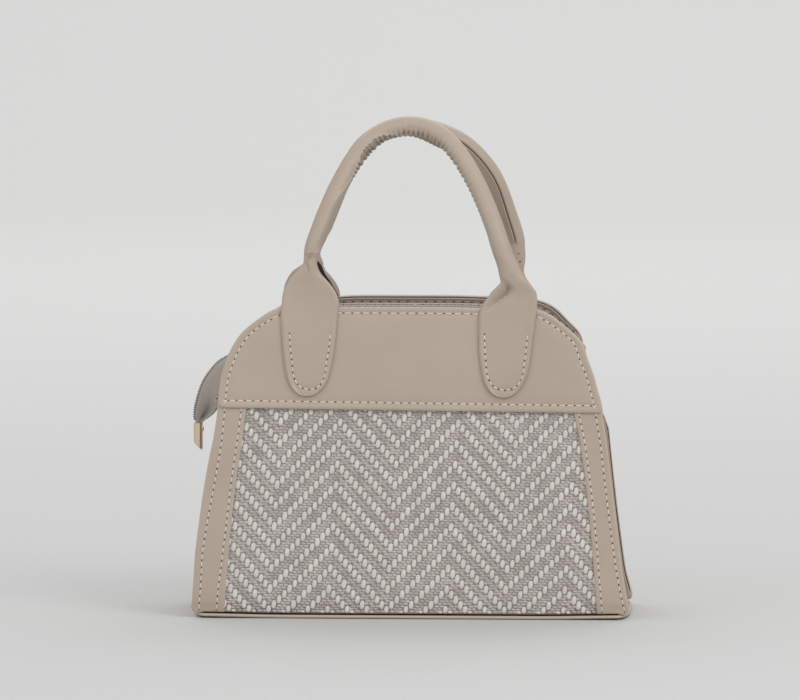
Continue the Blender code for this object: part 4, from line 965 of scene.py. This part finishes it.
# Zip tail: the free end of the zip, folded lengthwise round its coil and turned down over the left
# shoulder. It is sewn into the gusset's top, and ends in a folded clip of gold-plated sheet.
# Rows of the tail, mm: its coil's edge (x, y, z), its inner edge (x, y, z), hollow between them, painted shade of
# its fold
tail_rows = [
    (-88.5, 8.5, 153.4, -88.5, -9.5, 153.4, 0.0, 0.0), (-92.0, 5.0, 151.0, -91.5, -12.0, 150.5, 0.0, 0.0),
    (-96.5, 0.5, 146.6, -94.5, -14.0, 145.0, 0.1, 0.0), (-101.3, -3.5, 142.4, -97.0, -14.5, 137.5, 0.2, 0.0),
    (-107.9, -7.5, 138.6, -100.4, -14.5, 128.5, 0.3, 0.0), (-112.7, -9.5, 133.3, -103.3, -14.0, 124.0, 0.4, 0.0),
    (-116.3, -10.5, 127.7, -105.4, -13.5, 119.5, 0.7, 0.0), (-118.8, -11.2, 120.9, -107.0, -12.9, 115.3, 1.2, 0.2),
    (-120.5, -11.6, 114.3, -109.4, -12.5, 111.2, 1.8, 0.55), (-121.0, -11.9, 109.4, -112.7, -12.2, 108.2, 1.4, 0.75),
    (-120.6, -12.0, 106.5, -115.5, -12.0, 106.3, 0.7, 0.5), (-120.5, -12.0, 104.6, -116.9, -12.0, 104.6, 0.2, 0.2),
]
tail_steps, tape_thick, tail_ends = 66, 0.0008, ((-0.089, 0.0, 0.1535), (-0.096, 0.0, 0.1500))


def between(rows, share):
    """Smoothly between the rows of a table, at 0 to 1 along it."""
    place = share * (len(rows) - 1)
    i = min(int(place), len(rows) - 2)
    t = place - i
    a, b, c, d = rows[max(i - 1, 0)], rows[i], rows[i + 1], rows[min(i + 2, len(rows) - 1)]
    return [0.5 * (2 * q + (r - p) * t + (2 * p - 5 * q + 4 * r - s) * t * t + (3 * q - p - 3 * r + s) * t ** 3)
            for p, q, r, s in zip(a, b, c, d)]


tail_rings, tail_shades, tail_coil, tail_thread = [], [], [], []
for i in range(tail_steps + 1):
    row = between(tail_rows, i / tail_steps)
    ahead = between(tail_rows, min(1.0, (i + 1) / tail_steps))
    back = between(tail_rows, max(0.0, (i - 1) / tail_steps))
    outer, inner = Vector(row[:3]) / 1000, Vector(row[3:6]) / 1000
    hollow, fold_shade = row[6] / 1000, row[7]
    run = (Vector(ahead[:3]) - Vector(back[:3]) + Vector(ahead[3:6]) - Vector(back[3:6])).normalized()
    wide = (outer - inner).normalized()
    thin = wide.cross(run).normalized()
    upper, lower, shade = [], [], []
    for k in range(15):
        share = k / 14
        bow = -hollow * sin(pi * share) ** 1.5
        ripple = 0.0003 * waver(i * 0.25, k * 0.5, 4.0) * sin(pi * share)
        crease = 0.0010 * fold_shade * hump(share, 0.58, 0.07)
        middle = outer.lerp(inner, share) + thin * (bow + ripple - crease)
        leaf = thin * (tape_thick * min(1.0, 0.35 + 6 * share, 0.35 + 6 * (1 - share)))
        upper.append(middle + leaf)
        lower.append(middle - leaf)
        # Painted shade: darker along the fold where the tape curls.
        shade.append(fold_shade * hump(share, 0.58, 0.2))
    tail_rings.append(upper + lower[::-1])
    tail_shades.append(shade + [0.0] * len(lower))
    if i < tail_steps - 5:
        tail_coil.append((outer + wide * 0.0002, wide))
    if 34 <= i <= 42:
        tail_thread.append((outer.lerp(inner, 0.80) + thin * (tape_thick + 0.0002 - hollow * 0.4), thin))
tail_mesh = skin("zip_tail_cloth", tail_rings, sharp=80.0, shades=tail_shades)
dress("zip_tail_cloth", tail_mesh, zip_cloth, ["zip_tail"], "tail", tail_ends)
coil("zip_tail_coil", tail_coil, False, 0.3, 0.0, 0.0012, ["zip_tail"], "tail", tail_ends)
stitch("zip_tail_stitches", sewn(tail_thread, 0.0022), ["zip_tail"], "tail", tail_ends)
clip_low, clip_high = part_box("zip_end_clip")
clip_x, clip_y = (clip_low[0] + clip_high[0]) / 2, (clip_low[1] + clip_high[1]) / 2
foot, head, clip_rings = clip_low[2], clip_high[2], []
for z, grow, slant in ((head - 0.0004, -0.0006, 0.0), (head, -0.0003, 0.0), (head - 0.0002, 0.0, 0.0),
                       (head - 0.006, 0.0, 0.2), (foot + 0.0058, 0.0, 0.9), (foot + 0.0048, -0.0002, 1.0),
                       (foot + 0.0044, -0.0008, 1.0)):
    ring = oval_ring(Vector((clip_x, clip_y, z)), 0.0025 + grow, 0.0022 + grow, 20, 0.75)
    for point in ring:
        point.z -= 0.0046 * slant * (point.x - clip_x + 0.0025) / 0.005
    clip_rings.append(ring)
tongue_rings = [oval_ring(Vector((clip_x + 0.0024, clip_y - 0.0004, head - down)), half, 0.0008, 10, 0.7)
                for down, half in ((0.0018, 0.0002), (0.0022, 0.0007), (0.0046, 0.0007), (0.005, 0.0002))]
clip_mesh = joined("zip_end_clip_sheet", [skin("clip", clip_rings), skin("clip_tab", tongue_rings)])
dress("zip_end_clip_sheet", clip_mesh, pale_gold, ["zip_end_clip"], "tail")


# Handles: each is one leather piece, rolled round a cord and sewn along the inside of the arch. Its ends
# open out below the necks into flat tabs that are sewn to the yoke by a U of stitches.
# The handles' leather is the body's, a shade darker and rubbed a little glossier by the hand.
handle_leather = leather_finish("coated_leather_handle", "#afa090", 0.44)
hinge_y, tab_lift, tab_middle = 0.038706, 0.0043, 0.0008
neck_height, bend, crown_y = 0.1985, 0.018, 0.0075
# Rows of a tab, mm: height, left edge, right edge, half thickness
tabs = {
    ("front", "left"): [
        (121.7, -58, -56.2, 0.6), (122.6, -61.5, -52.5, 0.7), (125, -64.7, -49.2, 0.8),
        (129.2, -67.2, -46.2, 0.8), (135, -68.8, -44.4, 0.8), (143.5, -70, -42.6, 0.8),
        (152.6, -70.8, -41.4, 0.8), (165.8, -71.6, -40.4, 0.8), (172.8, -71.1, -39.6, 0.9),
        (176.8, -70.7, -40.5, 1.1), (180, -69.8, -42.1, 1.4), (183.4, -68.1, -44.6, 1.9),
        (186.5, -66.2, -47.4, 2.6), (189, -63.8, -49.5, 3.1), (191.5, -61.3, -50.8, 3.5),
        (194.4, -59.4, -51.6, 3.9), (197.4, -59, -51.1, 4.2), (200.3, -59, -49.8, 4.5)],
    ("front", "right"): [
        (121.3, 50.2, 52, 0.6), (122.2, 46.7, 55.4, 0.7), (124.6, 43.2, 58.8, 0.8),
        (129, 40.5, 61.7, 0.8), (134.5, 39, 64, 0.8), (143.5, 37.7, 65.8, 0.8),
        (152.6, 37.2, 66.8, 0.8), (165.8, 37.4, 68.6, 0.8), (172.8, 39.8, 69.3, 0.9),
        (176.5, 42.4, 69.2, 1.1), (179.3, 44.3, 68.6, 1.6), (181.8, 46.8, 66.8, 2.3),
        (184.2, 49, 65, 3), (186.8, 48.7, 62.8, 3.6), (189.3, 48.1, 61.2, 4.1),
        (192.5, 47.4, 59.6, 4.5), (196, 46.3, 58, 4.8), (199, 45.1, 56.5, 5)],
    ("rear", "right"): [
        (121.7, 50.6, 52.4, 0.6), (122.6, 47.1, 56.1, 0.7), (125, 43.8, 59.3, 0.8),
        (129.2, 41.1, 62.1, 0.8), (135, 39.4, 63.8, 0.8), (143.5, 37.9, 65.3, 0.8),
        (152.6, 37, 66.4, 0.8), (164, 36.4, 67.4, 0.8), (169, 37.6, 67.2, 0.9),
        (172.8, 40.2, 66.4, 1.1), (176.4, 43.4, 65, 1.6), (179, 45.6, 63.2, 2.3),
        (182, 47.4, 61.1, 3), (185, 48.7, 59.8, 3.8), (187.5, 49.1, 59.5, 4.5),
        (191, 49.5, 60, 5), (195, 49.7, 60.3, 5.2), (200.3, 49.6, 60.1, 5.2)],
}
tabs = {tab: mm(rows) for tab, rows in tabs.items()}
# The rear left tab is the front one's twin, further out and narrower at its neck
tabs["rear", "left"] = [(z, left - 0.0039 + 0.0003 * ease(z, 0.17, 0.2) + 0.0028 * hump(z, 0.192, 0.004),
                         right - 0.0037 + 0.0018 * ease(z, 0.186, 0.192) - 0.0018 * ease(z, 0.192, 0.2), thick)
                        for z, left, right, thick in tabs["front", "left"]]
# Folds pressed into the necks, by tab: points (x, z) down each fold, mm, its depth, the width of its
# hollow, and the side of the fold that is hollow (0 for a plain crease)
folds = {
    ("front", "left"): [([(-58.4, 196.6), (-56.4, 198), (-54.2, 199.2), (-51.2, 200)], 0.0014, 0.0020, -1),
                        ([(-57.7, 196.8), (-57, 193.5), (-56, 188.5)], 0.0005, 0.0008, 0)],
    ("front", "right"): [([(48.4, 186.2), (51.5, 183.8), (53.4, 182), (54, 179.8), (52.4, 177.4), (47.5, 173.6),
                           (42.5, 170)], 0.0024, 0.0034, -1)],
}
# Points (x, z) along the middle of each rolled part, mm
handle_lines = {
    "front": [(-54.4, 200.3), (-53.5, 204), (-51, 211), (-46.8, 222.5), (-41.3, 235.2),
              (-34.3, 248.1), (-26.8, 258.3), (-17.5, 265.8), (-5.5, 269.4), (6.5, 268.4), (17.4, 262.6),
              (26.3, 252.8), (34.8, 239), (41.4, 225), (45.8, 214), (48.6, 205.5), (50.8, 199)],
    "rear": [(-58.1, 200.3), (-55.4, 205.5), (-52.4, 212), (-48, 222.5), (-42.6, 235.2), (-35.6, 248),
             (-27.8, 258.3), (-17.8, 265.2), (-6, 268), (6, 267.5), (16.6, 264.3), (26.7, 258.8),
             (36.4, 249.4), (44.4, 236.8), (51.1, 217.5), (54.5, 206), (55, 200.3)],
}
ring_count, tube_steps, joint_rings, crinkle_pitch = 72, 500, 70, 0.0032
# Turns round the roll from its seam, close together at the seam itself
seam_turns = [0, 2.5, 5, 8, 12, 16, 21] + [27 + 5.5 * i for i in range(58)]
seam_turns += [344, 347, 350, 352.5, 355, 357, 358.5]


def pressed(x, z, line, depth, reach, hollow_side):
    """How deep a fold is at a place and how much painted shade it gets: sharp at its line, easing off on its hollow
    side.
    """
    nearest = None
    for i, (a, b) in enumerate(zip(line, line[1:])):
        a, b, p = Vector(a), Vector(b), Vector((x, z))
        share = min(1.0, max(0.0, (p - a).dot(b - a) / (b - a).length_squared))
        near = p - a.lerp(b, share)
        turn = (b - a).x * near.y - (b - a).y * near.x
        if nearest is None or near.length < nearest[0]:
            nearest = (near.length, copysign(1.0, turn), (i + share) / (len(line) - 1))
    away, turn, along = nearest
    strength = sin(pi * min(0.97, max(0.03, along))) ** 0.7
    if hollow_side == 0:
        return depth * strength * hump(away, 0, reach), 0.5 * strength * hump(away, 0, reach)
    if turn == hollow_side:
        return depth * strength * exp(-away / reach), 0.85 * strength * hump(away, 0, reach)
    return depth * strength * (1.2 * hump(away, 0, 0.0013) - 0.2 * hump(away, 0, 0.0025)), 0.0


def tab_rings(face, side, hand):
    """Closed sections from a tab's tip up to its neck, and how much painted shade each point gets."""
    made, shades, rows = [], [], tabs[face, hand]
    tab_folds = [([between(mm(line), k / 24) for k in range(25)], *rest)
                 for line, *rest in folds.get((face, hand), ())]
    steps = 8 * (len(rows) - 1)
    for z, left, right, thick in [between(rows, i / steps) for i in range(steps + 1)]:
        middle, half = (left + right) / 2, max((right - left) / 2, 0.0006)
        rise = ease(z, 0.172, 0.192)
        ring, shade = [], []
        for turn in [2 * pi * k / ring_count for k in range(ring_count)]:
            x = middle + half * boxed(cos(turn), 0.62 + 0.38 * rise)
            lift = tab_lift + tab_middle + thick * boxed(sin(turn), 0.42 + 0.58 * rise)
            dark = 0.0
            if sin(turn) > 0:
                from_edge = 1.0 - abs((x - middle) / half)
                lift += 0.0005 * (ease(from_edge, 0.0, 0.10) - ease(from_edge, 0.10, 0.34)) * (1 - rise)
                inset = min(z - rows[0][0], from_edge * half * 1.4) * 1000
                lift -= 0.0003 * hump(inset, 4.4, 1.2) * (1 - rise) * ease(0.159 - z, 0.0, 0.004)
                for fold in tab_folds:
                    deep, tone = pressed(x, z, *fold)
                    lift -= deep * sin(turn)
                    # Painted shade in the fold's hollow.
                    dark = max(dark, 0.55 * tone * sin(turn))
            ring.append(face_point(x, z, lift, side, Vector))
            shade.append(dark)
        made.append(ring)
        shades.append(shade)
    return made, shades


def tab_plane(z):
    """How far the middle of a tab's thickness is from the bag's middle."""
    return plane_y(z) + tab_lift + tab_middle


def past_neck(z):
    """The height above the neck over which the roll leans in, eased off through its bend."""
    above = max(0.0, z - neck_height)
    return above * above / (2 * bend) if above < bend else above - bend / 2


def tube_rings(face, side):
    """Closed sections along the rolled part, and how much painted shade each point gets. Their points turn from the
    inside of the arch towards the front."""
    line, made, shades = mm(handle_lines[face]), [], []
    top_z = max(z for _, z in line)
    lean_in = (tab_plane(top_z) - crown_y) / past_neck(top_z)

    def middle_at(share):
        x, z = between(line, share)
        return x, side * (tab_plane(z) - lean_in * past_neck(z)), z

    travelled, last = 0.0, Vector(middle_at(0.0))
    for share in [i / tube_steps for i in range(tube_steps + 1)]:
        ahead, back = middle_at(min(1, share + 0.004)), middle_at(max(0, share - 0.004))
        run = Vector([a - b for a, b in zip(ahead, back)]).normalized()
        z, centre = middle_at(share)[2], Vector(middle_at(share))
        travelled += (centre - last).length
        last = centre
        stem = Vector((0.0, -side * sin(lean), cos(lean))) * (1.0 if share < 0.5 else -1.0)
        rolled = ease(z, 0.2003, 0.2250)
        cut = (stem * (1.0 - rolled) + run * rolled).normalized()
        inwards = Vector((0.0, centre.y, 0.205)) - centre
        inwards = (inwards - cut * inwards.dot(cut)).normalized()
        forwards = inwards.cross(cut)
        forwards = forwards if forwards.y < 0 else -forwards
        ends_in = ease(share, 0.0, 0.13) * ease(1.0 - share, 0.0, 0.13)
        wander = 0.5 * waver(travelled * 150, side * 4.0, 1.0)
        wave = abs(sin(pi * (travelled / crinkle_pitch + wander)))
        vigour = 0.8 + 0.7 * waver(travelled * 120, 7.0, side)
        if side < 0:
            crowd = ease(share, 0.24, 0.33) * ease(0.88 - share, 0.0, 0.24)
            seam_at = 60.0 - 34.0 * ease(share, 0.20, 0.28) + 50.0 * ease(share, 0.29, 0.36)
            seam_at -= 78.0 * ease(share, 0.40, 0.52)
            seam_at += 14.0 * crowd * vigour * (0.5 - wave)
            seam_open = ease(share, 0.02, 0.12) * (1.0 - 0.85 * ease(share, 0.46, 0.52))
            seam_open *= ease(0.9 - share, 0.0, 0.2)
            groove = seam_open * (0.15 + 0.35 * ease(share, 0.26, 0.33))
            fin, shade_from, shade_full = 0.0, 0.5, 5.0
            # How much painted shade the roll's underside gets below the seam.
            below_tone = 0.20 + 0.24 * ease(share, 0.26, 0.33)
        else:
            crowd = 0.4 * ease(share, 0.16, 0.28) * ease(0.7 - share, 0.0, 0.2)
            seam_at = 90.0
            seam_open = groove = ease(share, 0.45, 0.60) * ease(0.985 - share, 0.0, 0.04)
            fin = 0.0034 * ease(share, 0.50, 0.62) * ease(0.985 - share, 0.0, 0.05)
            below_tone, shade_from, shade_full = 0.20, 6.0, 14.0
        notch = (1.0 - wave) ** 1.4
        bare_radius = 0.0051 - (0.0006 if share < 0.5 else 0.0) * (1.0 - ends_in)
        ring, shade = [], []
        for k, seam in enumerate(seam_turns):
            seam += (360.0 * k / ring_count - seam) * (1.0 - rolled)
            seam = seam - 360.0 if seam > 180.0 else seam
            degrees = (seam + seam_at + 180.0) % 360.0 - 180.0
            turn = radians(degrees)
            direction = inwards * cos(turn) + forwards * sin(turn)
            radius = bare_radius + 0.00010 * waver(share * 22, cos(turn) * 1.2, sin(turn) * 1.2)
            inner = hump(degrees, 8.0, 46.0)
            radius += crowd * inner * (0.00045 - 0.00215 * vigour * notch)
            drift = waver(travelled * 300, degrees / 60.0, 9.0 + side)
            radius -= 0.00080 * crowd * hump(degrees, 62.0, 38.0) * max(0.0, drift - 0.1)
            radius -= 0.00100 * hump(seam, 0, 4.0) * groove
            radius += 0.00040 * hump(seam, 13.0, 9.0) * seam_open
            radius += 0.00030 * hump(seam, -9.0, 6.0) * groove
            radius += fin * hump(degrees, 0, 40.0)
            # Painted shade: a dark line in the seam's groove, the underside below the seam, and the crinkles'
            # notches.
            below = ease(-seam, shade_from, shade_full) * ease(seam, -120.0, -70.0)
            dark = max(0.85 * groove * hump(seam, 0, 2.8), seam_open * below_tone * below)
            ring.append(centre + direction * (radius / sqrt(1.0 - direction.dot(run) ** 2)))
            shade.append(min(0.95, dark + 0.30 * crowd * vigour * inner * notch))
        made.append(ring)
        shades.append(shade)
    return made, shades


def aligned(rings, shades, guide):
    """Rings and shades with their points in the order and start that lie nearest a guide ring."""
    best = None
    for way in (1, -1):
        for start in range(ring_count):
            order = [(start + way * k) % ring_count for k in range(ring_count)]
            cost = sum((rings[-1][order[k]] - guide[k]).length for k in range(0, ring_count, 4))
            if best is None or cost < best[0]:
                best = (cost, order)
    return [[[ring[k] for k in best[1]] for ring in table] for table in (rings, shades)]


def row_reaching(rows, value, steps):
    """The first place along a table, in small steps, whose first value reaches a given one."""
    return next(row for row in (between(rows, k / steps) for k in range(steps + 1)) if row[0] >= value)


# Painted shadow: a ragged strip of black cloth beside the front left neck, standing for the shadow in the
# gap between the tab's layers. Its section is (out from its edge, lift), and its widths are by share of its length.
shadow_strip_top, shadow_strip_length, shadow_strip_steps = 0.1956, 0.0200, 48
shadow_strip_section = ((-0.0035, 0.0040), (0.0, 0.0040), (0.0, 0.0046), (-0.0035, 0.0046))
shadow_strip_widths = [(0.0, 0.0003), (0.05, 0.0013), (0.13, 0.0021), (0.25, 0.0023), (0.40, 0.0019), (0.55, 0.0013),
               (0.70, 0.0006), (1.0, 0.0004)]
u_top, u_step, u_foot, u_pitch = 0.1560, 0.0027, 0.1253, 0.00365
for face, side in sides.items():
    middle_rings, middle_shades = tube_rings(face, side)
    left_rings, left_shades = aligned(*tab_rings(face, side, "left"), middle_rings[0])
    right_rings, right_shades = aligned(*tab_rings(face, side, "right"), middle_rings[-1])
    for rings, first, way in ((left_rings, 0, 1), (right_rings, -1, -1)):
        gaps = [a - b for a, b in zip(rings[-1], middle_rings[first])]
        for j in range(joint_rings):
            ring = middle_rings[first + way * j]
            fade = 1.0 - ease(j, 0, joint_rings)
            ring[:] = [point + gap * fade for point, gap in zip(ring, gaps)]
    handle_mesh = skin(face + "_handle_leather", left_rings[:-1] + middle_rings + right_rings[-2::-1], sharp=80.0,
                       shades=left_shades[:-1] + middle_shades + right_shades[-2::-1])
    nodes = [f"{face}_handle_{piece}" for piece in ("tab_left", "tab_right", "grip", "core")]
    ends = ((0.0, side * hinge_y, 0.190), (0.0, side * hinge_y, 0.206))
    dress(face + "_handle_leather", handle_mesh, handle_leather, nodes, body=face + "_handle", ends=ends)
    if side < 0:
        # Painted shadow: a black strip beside the front left neck, where the gap between the tab's layers is in
        # shade.
        shadow_strip_rings = []
        for i in range(shadow_strip_steps + 1):
            z = shadow_strip_top - shadow_strip_length * i / shadow_strip_steps
            # The last row stays just inside the table of widths
            wide = row_reaching(shadow_strip_widths, i / (shadow_strip_steps + 0.1), 200)[1]
            ragged = 0.00035 * waver(z * 1300, 2.0, 5.0)
            edge = row_reaching(tabs["front", "left"], z, 400)[2] + wide + ragged * min(1.0, wide / 0.002)
            shadow_strip_rings.append([face_point(edge + out, z, lift, side, Vector) for out, lift in shadow_strip_section])
        dress("front_handle_painted_shadow_left", skin("front_handle_painted_shadow_left", shadow_strip_rings), black_cloth,
              ["front_handle_tab_left"], "front_handle", ends)
    else:
        # Two needle holes show in the rear handle's right neck
        hole_axes = (x_way, z_way, Vector((0, -1, 0)))
        hole_spots = [(Vector((x, tab_plane(z) - 0.0049, z)), hole_axes, (0.0004, 0.0005, 0.0002), True)
                      for x, z in ((0.0566, 0.1969), (0.0575, 0.1925))]
        stitch("rear_handle_needle_holes", hole_spots, ["rear_handle_tab_right"])
    for hand in hands:
        down, up = [], []
        for z in [u_top - u_step * i for i in range(7)]:
            _, left, right, _ = row_reaching(tabs[face, hand], z, 200)
            down.append((left + (0.0044 if hand == "left" else 0.0033), z))
            up.insert(0, (right - 0.0031, z))
        (low_left, low_z), (low_right, _) = down[-1], up[0]
        reach = (low_right - low_left) / 2
        foot = [((low_left + low_right) / 2 - reach * boxed(cos(turn), 0.85),
                 low_z - (low_z - u_foot) * sin(turn) ** 0.85) for turn in [pi * k / 12 for k in range(1, 12)]]
        u_row = on_face(down + foot + up, tab_lift + 0.00155, side, Vector)
        stitch(f"{face}_handle_tab_{hand}_stitches", sewn(u_row, u_pitch), [f"{face}_handle_tab_{hand}"])
